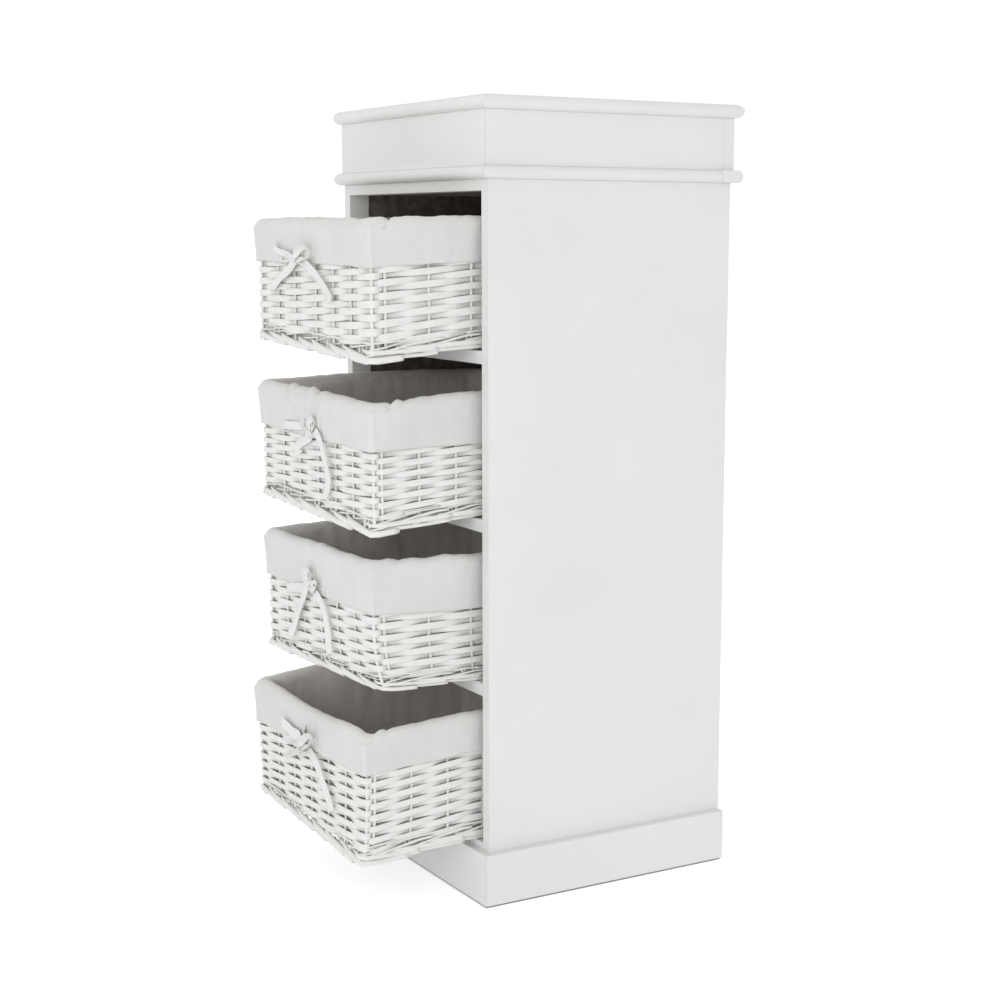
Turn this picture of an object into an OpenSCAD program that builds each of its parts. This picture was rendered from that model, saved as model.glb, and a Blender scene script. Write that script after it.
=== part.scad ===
// Narrow chest of drawers: a painted board cabinet with a top box, and four wicker baskets for drawers.
// Every basket is woven from wavy weavers round upright stakes, with a cloth lining folded over its rim.

/* [Cabinet] */
// Full height of the cabinet from the floor
cabinet_h = 950; // [700:1:1200]
// Width of the carcass across its two sides
carcass_w = 380; // [330:1:500]
// Depth of the carcass from its front edges to its back
carcass_d = 338; // [320:1:420]
// Thickness of the sides, the shelves and the bottom
board_t = 15; // [12:0.5:20]
// Thickness of the back panel
back_t = 3; // [2:0.5:6]
// Thickness of the panel that closes the carcass at the top
carcass_top_t = 13; // [10:0.5:20]
// Height of the top face of the bottom board above the floor
bottom_level = 73; // [66:0.5:100]

/* [Plinth] */
// Height of the plinth's top edge above the floor
plinth_h = 65; // [50:1:90]
// How far the plinth stands out from the carcass
plinth_t = 10; // [6:0.5:16]
// Thickness of the glides that the cabinet stands on
glide_t = 2; // [1:0.5:5]
// Diameter of a glide
glide_dia = 13; // [8:0.5:14]
// Distance of each glide from the ends of its side
glide_inset = 35; // [15:1:80]

/* [Top] */
// Thickness of the top board
top_t = 16; // [12:0.5:24]
// How far the top board stands out at each side of the carcass
top_side_out = 9; // [4:0.5:20]
// How far the top board stands out at the front of the carcass
top_front_out = 11; // [4:0.5:20]
// How far the top board and the cornice stand out at the back
top_back_out = 13.5; // [6:0.5:20]
// Height of the frieze boards
frieze_h = 62; // [40:1:90]
// Thickness of the frieze boards
frieze_t = 15; // [10:0.5:20]
// How far the frieze stands out at the front of the carcass
frieze_front_out = 3; // [0:0.5:4]
// How far the frieze stands out at the back of the carcass
frieze_back_out = 5; // [0:0.5:5.5]
// Thickness of the cornice strips
cornice_t = 15; // [10:0.5:20]
// Width of the cornice strips
cornice_w = 30; // [28:0.5:45]
// How far the cornice stands out at each side of the carcass
cornice_side_out = 8.5; // [4:0.5:12]
// How far the cornice stands out at the front of the carcass
cornice_front_out = 11; // [4:0.5:12]

/* [Baskets] */
// How far basket 1, the highest, is pulled out
pull_1 = 137; // [60:0.5:150]
// How far basket 2 is pulled out
pull_2 = 137; // [60:0.5:150]
// How far basket 3 is pulled out
pull_3 = 135.5; // [60:0.5:150]
// How far basket 4, the lowest, is pulled out
pull_4 = 149.5; // [60:0.5:150]
// Free room on each side of basket 1
side_room_1 = 10; // [8:0.5:20]
// Free room on each side of basket 2
side_room_2 = 11.5; // [8:0.5:20]
// Free room on each side of basket 3
side_room_3 = 14; // [8:0.5:20]
// Free room on each side of basket 4
side_room_4 = 10; // [8:0.5:20]
// Free room over basket 1
head_room_1 = 30.5; // [18:0.5:45]
// Free room over basket 2
head_room_2 = 36.5; // [18:0.5:45]
// Free room over basket 3
head_room_3 = 25.5; // [18:0.5:45]
// Free room over basket 4
head_room_4 = 27.5; // [18:0.5:45]
// Free room behind a basket whose front is flush with the carcass
back_room = 17; // [12:0.5:40]
// Outer corner radius of the cloth
corner_r = 14; // [14:0.5:20]
// Running clearance of a basket over its shelf, and of pieces that lie against each other
seat_gap = 0.3; // [0.2:0.05:0.5]

/* [Wicker] */
// Diameter of the upright stakes
stake_dia = 4.8; // [4:0.1:5.2]
// Thickness of the flat weavers
weaver_t = 2.6; // [2:0.1:3]
// Height of the weavers of basket 1
weaver_h_1 = 7; // [4.5:0.1:8]
// Height of the weavers of basket 2
weaver_h_2 = 5.7; // [4.5:0.1:8]
// Height of the weavers of basket 3
weaver_h_3 = 6.7; // [4.5:0.1:8]
// Height of the weavers of basket 4
weaver_h_4 = 5.4; // [4.5:0.1:8]
// Gap between two rows of weavers
row_gap = 0.5; // [0.3:0.1:1]
// Half the length over which a weaver lies straight on a stake
straight_half = 3.5; // [2:0.1:4]
// Stakes across the front and across the back, between the corner posts
front_stakes = 5; // [3:2:7]
// Stakes along each side of basket 1, between the corner posts
side_stakes_1 = 6; // [4:1:8]
// Stakes along each side of basket 2, between the corner posts
side_stakes_2 = 7; // [4:1:8]
// Stakes along each side of basket 3, between the corner posts
side_stakes_3 = 6; // [4:1:8]
// Stakes along each side of basket 4, between the corner posts
side_stakes_4 = 7; // [4:1:8]
// Distance of a side's outermost stakes from the front and back lines of the stakes
corner_inset = 14; // [14:0.5:18]
// Height of the open foot with its slanting rods
foot_h = 20; // [18:0.5:26]
// Diameter of the slanting rods at the foot
rod_dia = 3.6; // [3:0.1:4]
// Length of a slanting rod
rod_len = 80; // [60:1:90]
// Distance from one slanting rod to the next
rod_pitch = 26; // [24:1:34]

/* [Cloth] */
// Thickness of the lining cloth
cloth_t = 1.5; // [1:0.1:2]
// How far the cloth hangs down outside basket 1
fall_1 = 53; // [30:0.5:70]
// How far the cloth hangs down outside basket 2
fall_2 = 54; // [30:0.5:70]
// How far the cloth hangs down outside basket 3
fall_3 = 60; // [30:0.5:70]
// How far the cloth hangs down outside basket 4
fall_4 = 49; // [30:0.5:70]
// Depth of the puckers in the cloth outside
pucker_out = 1; // [0.5:0.1:1.5]
// Distance from one pucker to the next
pucker_pitch = 24; // [20:1:40]
// Width of the tie tape
tape_w = 9; // [6:0.5:12]
// Thickness of the tie tape
tape_t = 1.4; // [1:0.1:2]
// Diameter of the knot
knot_dia = 13; // [9:0.5:16]
// Length of a loop of the bow
loop_len = 26; // [18:0.5:30]

/* [Hidden] */
$fn = 32;
paint = "#e6e8e4";
raw_board = "#4a3f36";
wicker = "#eeeeeb";
linen = "#dcdcd8";

// Levels of the cabinet, from the floor up
top_level = cabinet_h - top_t;
frieze_level = top_level - frieze_h;
cornice_level = frieze_level - cornice_t;
opening_level = cornice_level - carcass_top_t;
opening_h = (opening_level - bottom_level - 3 * board_t) / 4;
function floor_level(i) = bottom_level + (4 - i) * (opening_h + board_t);

// The whole part, with its baskets out, is centred on the origin
pulls = [pull_1, pull_2, pull_3, pull_4];
side_rooms = [side_room_1, side_room_2, side_room_3, side_room_4];
head_rooms = [head_room_1, head_room_2, head_room_3, head_room_4];
inner_w = carcass_w - 2 * board_t;
inner_d = carcass_d - back_t;
widths = [for (room = side_rooms) inner_w - 2 * room];
heights = [for (room = head_rooms) opening_h - room];
basket_d = inner_d - back_room;
weaver_hs = [weaver_h_1, weaver_h_2, weaver_h_3, weaver_h_4];
side_counts = [side_stakes_1, side_stakes_2, side_stakes_3, side_stakes_4];
falls = [fall_1, fall_2, fall_3, fall_4];
tie_out = seat_gap + tape_t;
reach_out = max(pulls) + tie_out;
front_y = (reach_out - carcass_d - top_back_out) / 2;
back_y = front_y + carcass_d;
half_w = carcass_w / 2;

// Weave of a basket, from the outside of the cloth inwards
swing_slope = 30;
swing = (stake_dia / 2 + seat_gap) / cos(swing_slope) + weaver_t / 2;
weave_inset = cloth_t + pucker_out + seat_gap + swing + weaver_t / 2;
lining_inset = weave_inset + swing + weaver_t / 2 + seat_gap;
function row_pitch(i) = weaver_hs[i - 1] + row_gap;
base_t = 2 * swing + weaver_t;
lining_level = base_t + 2 * seat_gap;
stake_level = rod_dia / 2;

// Places of the bows and the lengths of their tails, as shares of the basket's width and height
tie_shares = [-0.11, -0.05, -0.06, -0.11];
tail_shares = [[0.20, 0.24], [0.42, 0.12], [0.40, 0.34], [0.46, 0.16]];
lean_shares = [[-0.34, 0.36], [0.06, -0.25], [-0.1, 0.24], [0.24, -0.3]];

function basket_mid_y(i) = front_y - pulls[i - 1] + basket_d / 2;
function stake_x(i) = widths[i - 1] / 2 - weave_inset;
stake_y = basket_d / 2 - weave_inset;
cloth_bend = corner_r - cloth_t - seat_gap;
post_out = sqrt(pow(cloth_bend - seat_gap, 2) - pow(straight_half, 2)) - swing - weaver_t / 2;
post_in = cloth_bend - swing - weaver_t / 2 - post_out * cos(45);
function stake_pitch(i) = 2 * (stake_x(i) - post_in) / (front_stakes + 1);

// Corner arc points of a rounded outline, quarter by quarter, starting at the front right corner
arc_steps = 4;
function arc(q, hw, hd, r) = [
    for (s = [0 : arc_steps])
        let (a = 90 * (q - 1) + 90 * s / arc_steps)
            [(q == 0 || q == 1 ? 1 : -1) * (hw - r) + r * cos(a),
             (q == 0 || q == 3 ? -1 : 1) * (hd - r) + r * sin(a)]
];
function rounded(hw, hd, r) = [for (q = [0 : 3]) each arc(q, hw, hd, r)];

// Points of a straight side from its arc to the next, alternately out and in, for puckers
function puckered_side(q, hw, hd, r, out) =
    let (along_x = q == 1 || q == 3, half = (along_x ? hw : hd) - r)
    let (n = 2 * round(half / pucker_pitch), face = along_x ? hd : hw)
    let (turn = q < 2 ? 1 : -1)
        [for (k = [1 : n - 1])
            let (s = -half + 2 * half * k / n, d = face + (k % 2) * out)
                along_x ? [-turn * s, turn * d] : [turn * d, turn * s]];
function puckered(hw, hd, r, out) =
    [for (q = [0 : 3]) each concat(arc(q, hw, hd, r), puckered_side(q, hw, hd, r, out))];

// Stakes of a basket in order round it, each as place x, place y, outward x, outward y
function run(n, half) = [for (k = [0 : n - 1]) half * (2 * k / (n - 1) - 1)];
function corner_post(hx, hy, sx, sy) = [sx * (hx - post_in), sy * (hy - post_in), sx * cos(45), sy * cos(45)];
function stakes_round(hx, hy, pitch, side_stakes) = concat(
    [corner_post(hx, hy, -1, -1)],
    [for (s = run(front_stakes, pitch * (front_stakes - 1) / 2)) [s, -hy, 0, -1]],
    [corner_post(hx, hy, 1, -1)],
    [for (s = run(side_stakes, hy - corner_inset)) [hx, s, 1, 0]],
    [corner_post(hx, hy, 1, 1)],
    [for (s = run(front_stakes, pitch * (front_stakes - 1) / 2)) [-s, hy, 0, 1]],
    [corner_post(hx, hy, -1, 1)],
    [for (s = run(side_stakes, hy - corner_inset)) [-hx, -s, -1, 0]]
);
function basket_stakes(i) = stakes_round(stake_x(i), stake_y, stake_pitch(i), side_counts[i - 1]);
// One edge of a weaver: it runs straight over a stake outside and bends sharply inside
function weaver_edge(stakes, odd, d) = [
    for (k = [0 : len(stakes) - 1])
        let (p = stakes[k], out = (k + odd) % 2 == 0)
        let (e = (out ? swing : -swing) + d)
            each [for (s = out ? [-1, 1] : [0])
                [p[0] + p[2] * e - p[3] * s * straight_half, p[1] + p[3] * e + p[2] * s * straight_half]]
];
module ring(outer, inner, h) {
    n = len(outer);
    linear_extrude(h) polygon(
        concat(outer, inner),
        paths = [[for (k = [0 : n - 1]) k], [for (k = [0 : len(inner) - 1]) n + k]]
    );
}

// A board with a round nose on the edges along X, its middle at the origin
module nosed(len_x, len_y, t) {
    rotate([90, 0, 90]) translate([0, 0, -len_x / 2]) linear_extrude(len_x) {
        square([len_y - t, t], center = true);
        translate([(len_y - t) / 2, 0]) circle(d = t);
        translate([-(len_y - t) / 2, 0]) circle(d = t);
    }
}
top_d = carcass_d + top_front_out + top_back_out;
cornice_d = carcass_d + cornice_front_out + top_back_out;
cornice_half = half_w + cornice_side_out;
cornice_front_y = front_y - cornice_front_out;
cornice_back_y = back_y + top_back_out;

module top_board() {
    len_x = carcass_w + 2 * top_side_out;
    color(paint) translate([0, front_y - top_front_out + top_d / 2, top_level + top_t / 2])
        intersection() {
            nosed(len_x, top_d, top_t);
            rotate([0, 0, 90]) nosed(top_d, len_x, top_t);
        }
}

// Frieze boards meet in mitres at the front, and the back board closes them
frieze_front_y = front_y - frieze_front_out;
frieze_back_y = back_y + frieze_back_out;
module frieze_front() {
    color(paint) translate([0, frieze_front_y, frieze_level]) linear_extrude(frieze_h)
        polygon([[-half_w, 0], [half_w, 0], [half_w - frieze_t, frieze_t], [-half_w + frieze_t, frieze_t]]);
}
module frieze_side(hand) {
    y0 = frieze_front_y;
    y1 = frieze_back_y - frieze_t;
    color(paint) translate([0, 0, frieze_level]) linear_extrude(frieze_h)
        polygon([
            [hand * half_w, y0], [hand * half_w, y1],
            [hand * (half_w - frieze_t), y1], [hand * (half_w - frieze_t), y0 + frieze_t]
        ]);
}
module frieze_left() { frieze_side(-1); }
module frieze_right() { frieze_side(1); }
module frieze_back() {
    color(paint) translate([-half_w, frieze_back_y - frieze_t, frieze_level])
        cube([carcass_w, frieze_t, frieze_h]);
}

// Cornice strips: a round nose outside, mitred at the front and butted against the back strip
module cornice_front() {
    color(paint) intersection() {
        translate([0, cornice_front_y + cornice_w, cornice_level + cornice_t / 2])
            nosed(2 * cornice_half, 2 * cornice_w, cornice_t);
        translate([0, cornice_front_y, cornice_level]) linear_extrude(cornice_t)
            polygon([
                [-cornice_half, 0], [cornice_half, 0],
                [cornice_half - cornice_w, cornice_w], [cornice_w - cornice_half, cornice_w]
            ]);
    }
}
module cornice_side(hand) {
    side_d = cornice_d - cornice_w;
    color(paint) intersection() {
        translate([hand * (cornice_half - cornice_w), cornice_front_y + side_d / 2, cornice_level])
            translate([0, 0, cornice_t / 2]) rotate([0, 0, 90]) nosed(side_d, 2 * cornice_w, cornice_t);
        translate([0, cornice_front_y, cornice_level]) linear_extrude(cornice_t)
            polygon([
                [hand * cornice_half, 0], [hand * cornice_half, side_d],
                [hand * (cornice_half - cornice_w), side_d], [hand * (cornice_half - cornice_w), cornice_w]
            ]);
    }
}
module cornice_left() { cornice_side(-1); }
module cornice_right() { cornice_side(1); }
module cornice_back() {
    color(paint) intersection() {
        translate([0, cornice_back_y - cornice_w, cornice_level + cornice_t / 2])
            nosed(2 * cornice_half, 2 * cornice_w, cornice_t);
        translate([-cornice_half, cornice_back_y - cornice_w, cornice_level])
            cube([2 * cornice_half, cornice_w, cornice_t]);
    }
}

// Carcass
module carcass_top() {
    color(paint) translate([-inner_w / 2, front_y, opening_level]) cube([inner_w, inner_d, carcass_top_t]);
}
module side_panel(hand) {
    side_h = cornice_level - glide_t;
    color(paint) translate([hand * (half_w - board_t / 2), front_y + carcass_d / 2, glide_t + side_h / 2])
        difference() {
            cube([board_t, carcass_d, side_h], center = true);
            // The rebate that takes the back panel
            translate([-hand * board_t / 2, (carcass_d - back_t) / 2, 0])
                cube([board_t, back_t, side_h], center = true);
        }
}
module side_left() { side_panel(-1); }
module side_right() { side_panel(1); }
module shelf(i) {
    color(paint) translate([-inner_w / 2, front_y, floor_level(i) - board_t])
        cube([inner_w, inner_d, board_t]);
}
module shelf_1() { shelf(1); }
module shelf_2() { shelf(2); }
module shelf_3() { shelf(3); }
module bottom_board() { shelf(4); }
module back_panel() {
    color(raw_board) translate([-(inner_w + board_t) / 2, back_y - back_t, glide_t])
        cube([inner_w + board_t, back_t, cornice_level - glide_t]);
}

// Plinth boards, mitred at the front
module plinth_front() {
    out = half_w + plinth_t;
    color(paint) translate([0, front_y, glide_t]) linear_extrude(plinth_h - glide_t)
        polygon([[-out, -plinth_t], [out, -plinth_t], [half_w, 0], [-half_w, 0]]);
}
module plinth_side(hand) {
    out = half_w + plinth_t;
    color(paint) translate([0, 0, glide_t]) linear_extrude(plinth_h - glide_t)
        polygon([
            [hand * out, front_y - plinth_t], [hand * out, back_y],
            [hand * half_w, back_y], [hand * half_w, front_y]
        ]);
}
module plinth_left() { plinth_side(-1); }
module plinth_right() { plinth_side(1); }
module glides() {
    color("#b9b9b4") for (hand = [-1, 1], y = [front_y + glide_inset, back_y - back_t - glide_inset])
        translate([hand * (half_w - board_t / 2), y, 0]) cylinder(d = glide_dia, h = glide_t);
}

// Basket i, counted from the top: its pieces stand on the shelf below it
module at_basket(i) {
    translate([0, basket_mid_y(i), floor_level(i) + seat_gap]) children();
}
rim_least = 5;
function rows(i) = floor((heights[i - 1] - cloth_t - rim_least - foot_h - 2 * seat_gap) / row_pitch(i));
function rim_level(i) = foot_h + rows(i) * row_pitch(i);
module stakes(i) {
    h = rim_level(i) - row_gap - stake_level;
    color(wicker) at_basket(i)
        for (p = basket_stakes(i))
            translate([p[0], p[1], stake_level]) cylinder(d = stake_dia, h = h);
}
module weave(i) {
    all_stakes = basket_stakes(i);
    color(wicker) at_basket(i) for (k = [0 : rows(i) - 1])
        translate([0, 0, foot_h + k * row_pitch(i)])
            ring(
                weaver_edge(all_stakes, k, weaver_t / 2), weaver_edge(all_stakes, k, -weaver_t / 2),
                weaver_hs[i - 1]
            );
}
module rim(i) {
    hx = stake_x(i);
    out = swing + weaver_t / 2;
    color(wicker) at_basket(i) translate([0, 0, rim_level(i)])
        ring(
            rounded(hx + out, stake_y + out, corner_r - cloth_t - seat_gap),
            rounded(hx - out, stake_y - out, corner_r + seat_gap),
            heights[i - 1] - cloth_t - seat_gap - rim_level(i)
        );
}

// Base: round sticks from front to back, with flat weavers over and under them
base_sticks = 5;
base_weaver_w = 12.9;
base_pitch = base_weaver_w + row_gap;
module base(i) {
    hx = stake_x(i) - post_in - stake_dia / 2 - seat_gap;
    hy = stake_y - stake_dia / 2 - seat_gap;
    mid_z = base_t / 2 + seat_gap;
    n = floor((2 * hy + row_gap) / base_pitch);
    spacing = stake_pitch(i);
    color(wicker) at_basket(i) {
        for (k = [0 : base_sticks - 1])
            translate([(k - (base_sticks - 1) / 2) * spacing, hy, mid_z])
                rotate([90, 0, 0]) cylinder(d = stake_dia, h = 2 * hy);
        for (j = [0 : n - 1])
            translate([0, (2 * j - n + 1) * base_pitch / 2 + base_weaver_w / 2, mid_z])
                rotate([90, 0, 0]) linear_extrude(base_weaver_w)
                    polygon(concat(base_edge(hx, spacing, j, 1), base_edge(hx, spacing, j, -1)));
    }
}
// Upper or lower edge of a base weaver, from left to right for the upper one
function base_edge(hx, spacing, odd, edge) =
    let (steps = [for (k = [-1 : base_sticks]) (k - (base_sticks - 1) / 2) * spacing])
    let (pts = [for (k = [0 : len(steps) - 1])
        let (e = ((k + odd) % 2 == 0 ? swing : -swing) + edge * weaver_t / 2)
            each k == 0 ? [[-hx, e]] : k == len(steps) - 1 ? [[hx, e]]
                : [[steps[k] - straight_half, e], [steps[k] + straight_half, e]]])
        edge > 0 ? pts : [for (k = [len(pts) - 1 : -1 : 0]) pts[k]];

// Foot: slanting rods against the outside of the stakes, laid round the basket one after the other
module foot_side(half, off) {
    slant = asin((foot_h - rod_dia - 2 * seat_gap) / rod_len);
    run_x = rod_len * cos(slant);
    n = floor((2 * half - run_x) / rod_pitch);
    for (k = [0 : n])
        translate([-half + k * rod_pitch, -off, foot_h - rod_dia / 2 - seat_gap])
            rotate([0, 90 + slant, 0]) cylinder(d = rod_dia, h = rod_len);
}
module foot(i) {
    hx = stake_x(i);
    gap = stake_dia / 2 + rod_dia / 2 + seat_gap;
    // Each side's rods stop short of the next side's
    color(wicker) at_basket(i) {
        foot_side(hx, stake_y + gap);
        rotate([0, 0, 90]) foot_side(stake_y, hx + gap);
        rotate([0, 0, 180]) foot_side(hx, stake_y + gap);
        rotate([0, 0, 270]) foot_side(stake_y, hx + gap);
    }
}

// Lining: a cloth bag inside the weave, folded over the rim and hanging down outside
module lining(i) {
    hw = widths[i - 1] / 2 - pucker_out;
    hd = basket_d / 2 - pucker_out;
    in_x = hw + pucker_out - lining_inset;
    in_y = hd + pucker_out - lining_inset;
    r_in = corner_r - cloth_t;
    inside = rounded(in_x - cloth_t, in_y - cloth_t, r_in);
    h = heights[i - 1];
    color(linen) at_basket(i) {
        translate([0, 0, lining_level]) linear_extrude(cloth_t) polygon(rounded(in_x, in_y, corner_r));
        translate([0, 0, lining_level])
            ring(rounded(in_x, in_y, corner_r), inside, h - lining_level);
        translate([0, 0, h - cloth_t])
            ring(puckered(hw, hd, corner_r, pucker_out), inside, cloth_t);
        translate([0, 0, h - falls[i - 1]])
            ring(
                puckered(hw, hd, corner_r, pucker_out),
                puckered(hw - cloth_t, hd - cloth_t, r_in, pucker_out), falls[i - 1]
            );
    }
}

// Tie: a knot, two flat loops and two tails of tape on the front of the cloth
function oval(len_x, len_y) = [for (k = [0 : 11]) [len_x / 2 * cos(30 * k), len_y / 2 * sin(30 * k)]];
module loop_2d(turn) {
    rotate(turn) translate([loop_len / 2, 0]) polygon(
        concat(oval(loop_len, tape_w * 1.3), oval(loop_len - tape_w / 2, tape_w / 2)),
        paths = [[for (k = [0 : 11]) k], [for (k = [0 : 11]) 12 + k]]
    );
}
module tail_2d(len_z, lean) {
    bend = lean * len_z / 2;
    polygon([
        [-tape_w / 2, 0], [-tape_w / 2 + bend, -len_z / 2], [-tape_w / 2 + lean * len_z, -len_z],
        [tape_w / 2 + lean * len_z, -len_z + tape_w / 3], [tape_w / 2 + bend, -len_z / 2], [tape_w / 2, 0]
    ]);
}
module tie(i) {
    h = heights[i - 1];
    tails = tail_shares[i - 1];
    leans = lean_shares[i - 1];
    color(linen) at_basket(i)
        translate([tie_shares[i - 1] * widths[i - 1], -basket_d / 2 - seat_gap, h - falls[i - 1]])
            translate([0, 0, knot_dia / 2]) rotate([90, 0, 0]) linear_extrude(tape_t) {
                circle(d = knot_dia);
                loop_2d(35);
                loop_2d(155);
                tail_2d(tails[0] * h, leans[0]);
                tail_2d(tails[1] * h, leans[1]);
            }
}

module basket_1_stakes() { stakes(1); }
module basket_1_weave() { weave(1); }
module basket_1_base() { base(1); }
module basket_1_foot() { foot(1); }
module basket_1_rim() { rim(1); }
module basket_1_lining() { lining(1); }
module basket_1_tie() { tie(1); }
module basket_2_stakes() { stakes(2); }
module basket_2_weave() { weave(2); }
module basket_2_base() { base(2); }
module basket_2_foot() { foot(2); }
module basket_2_rim() { rim(2); }
module basket_2_lining() { lining(2); }
module basket_2_tie() { tie(2); }
module basket_3_stakes() { stakes(3); }
module basket_3_weave() { weave(3); }
module basket_3_base() { base(3); }
module basket_3_foot() { foot(3); }
module basket_3_rim() { rim(3); }
module basket_3_lining() { lining(3); }
module basket_3_tie() { tie(3); }
module basket_4_stakes() { stakes(4); }
module basket_4_weave() { weave(4); }
module basket_4_base() { base(4); }
module basket_4_foot() { foot(4); }
module basket_4_rim() { rim(4); }
module basket_4_lining() { lining(4); }
module basket_4_tie() { tie(4); }

top_board();
frieze_front();
frieze_back();
frieze_left();
frieze_right();
cornice_front();
cornice_back();
cornice_left();
cornice_right();
carcass_top();
side_left();
side_right();
shelf_1();
shelf_2();
shelf_3();
bottom_board();
back_panel();
plinth_front();
plinth_left();
plinth_right();
glides();
basket_1_stakes();
basket_1_weave();
basket_1_base();
basket_1_foot();
basket_1_rim();
basket_1_lining();
basket_1_tie();
basket_2_stakes();
basket_2_weave();
basket_2_base();
basket_2_foot();
basket_2_rim();
basket_2_lining();
basket_2_tie();
basket_3_stakes();
basket_3_weave();
basket_3_base();
basket_3_foot();
basket_3_rim();
basket_3_lining();
basket_3_tie();
basket_4_stakes();
basket_4_weave();
basket_4_base();
basket_4_foot();
basket_4_rim();
basket_4_lining();
basket_4_tie();
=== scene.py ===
"""Looks of a narrow chest of drawers whose drawers are four lined wicker baskets."""

import logging
import math
from dataclasses import dataclass
from enum import Enum
from typing import Sequence

import bpy
import numpy as np
from mathutils import Matrix, Vector


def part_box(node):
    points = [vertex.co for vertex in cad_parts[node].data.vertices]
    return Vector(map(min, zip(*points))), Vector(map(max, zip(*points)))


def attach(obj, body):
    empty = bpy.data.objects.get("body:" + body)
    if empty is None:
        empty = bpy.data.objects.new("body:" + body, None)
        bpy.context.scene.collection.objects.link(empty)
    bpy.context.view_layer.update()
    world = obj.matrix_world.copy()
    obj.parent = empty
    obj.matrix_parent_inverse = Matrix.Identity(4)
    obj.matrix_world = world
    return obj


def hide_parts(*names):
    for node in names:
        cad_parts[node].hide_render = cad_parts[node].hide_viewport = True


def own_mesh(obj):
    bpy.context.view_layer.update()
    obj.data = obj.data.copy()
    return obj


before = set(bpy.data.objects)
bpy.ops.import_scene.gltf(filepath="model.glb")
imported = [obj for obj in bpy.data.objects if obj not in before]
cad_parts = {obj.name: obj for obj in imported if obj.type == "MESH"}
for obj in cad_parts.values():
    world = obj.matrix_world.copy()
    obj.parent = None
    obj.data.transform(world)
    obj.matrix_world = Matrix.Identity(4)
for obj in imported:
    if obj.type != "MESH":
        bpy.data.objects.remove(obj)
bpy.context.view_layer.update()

log = logging.getLogger("scene")

Array = np.ndarray
Socket = bpy.types.NodeSocket
Material = bpy.types.Material
Piece = bpy.types.Object
Colour = tuple[float, float, float]
Point = tuple[float, float]
Place = tuple[float, float, float]
Levels = tuple[float, float, float, float]

# Gap between faces that would otherwise touch, in metres.
HAIR = 0.0003
# Width of the painted strip behind the front edges, inside the compartments, in metres.
PAINTED_STRIP = 0.027
SLIGHT_GLOSS = {"Specular IOR Level": 0.35}


class Slot(Enum):
    """The record's material slots named for pieces here; this script gives no piece its slot."""

    HARDBOARD = "raw_hardboard"
    WICKER = "white_wicker"
    LINEN = "linen"


class Held(Enum):
    """How a sheet of cloth is held."""

    DRAPED = "draped"
    HUNG = "hung"


class Corner(Enum):
    """The four corners of a basket, as signs of x and y."""

    FRONT_RIGHT = (1, -1)
    BACK_RIGHT = (1, 1)
    BACK_LEFT = (-1, 1)
    FRONT_LEFT = (-1, -1)


class Zone(Enum):
    """The parts of a lining, from the middle of its floor to its lower edge outside."""

    FLOOR = 0
    WALL = 1
    ROLL = 2
    BAND = 3


def link(name: str, data: bpy.types.ID) -> Piece:
    """Makes an object and puts it in the scene.

    Args:
        name: Its name.
        data: Its mesh, camera or lamp.

    Returns:
        The object.
    """
    made = bpy.data.objects.new(name, data)
    bpy.context.scene.collection.objects.link(made)
    return made


def ramp(value: Array | float, start: float, end: float) -> Array:
    """Rises evenly from 0 at start to 1 at end, and stays there."""
    return np.clip((value - start) / (end - start), 0, 1)


def hump(value: Array, half: float) -> Array:
    """A soft hump of height 1 about 0, whose half width is given."""
    return np.exp(-((value / half) ** 2))


def shaded(colour: Colour, share: float) -> Colour:
    """A share of a colour's brightness."""
    return tuple(c * share for c in colour)


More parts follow.
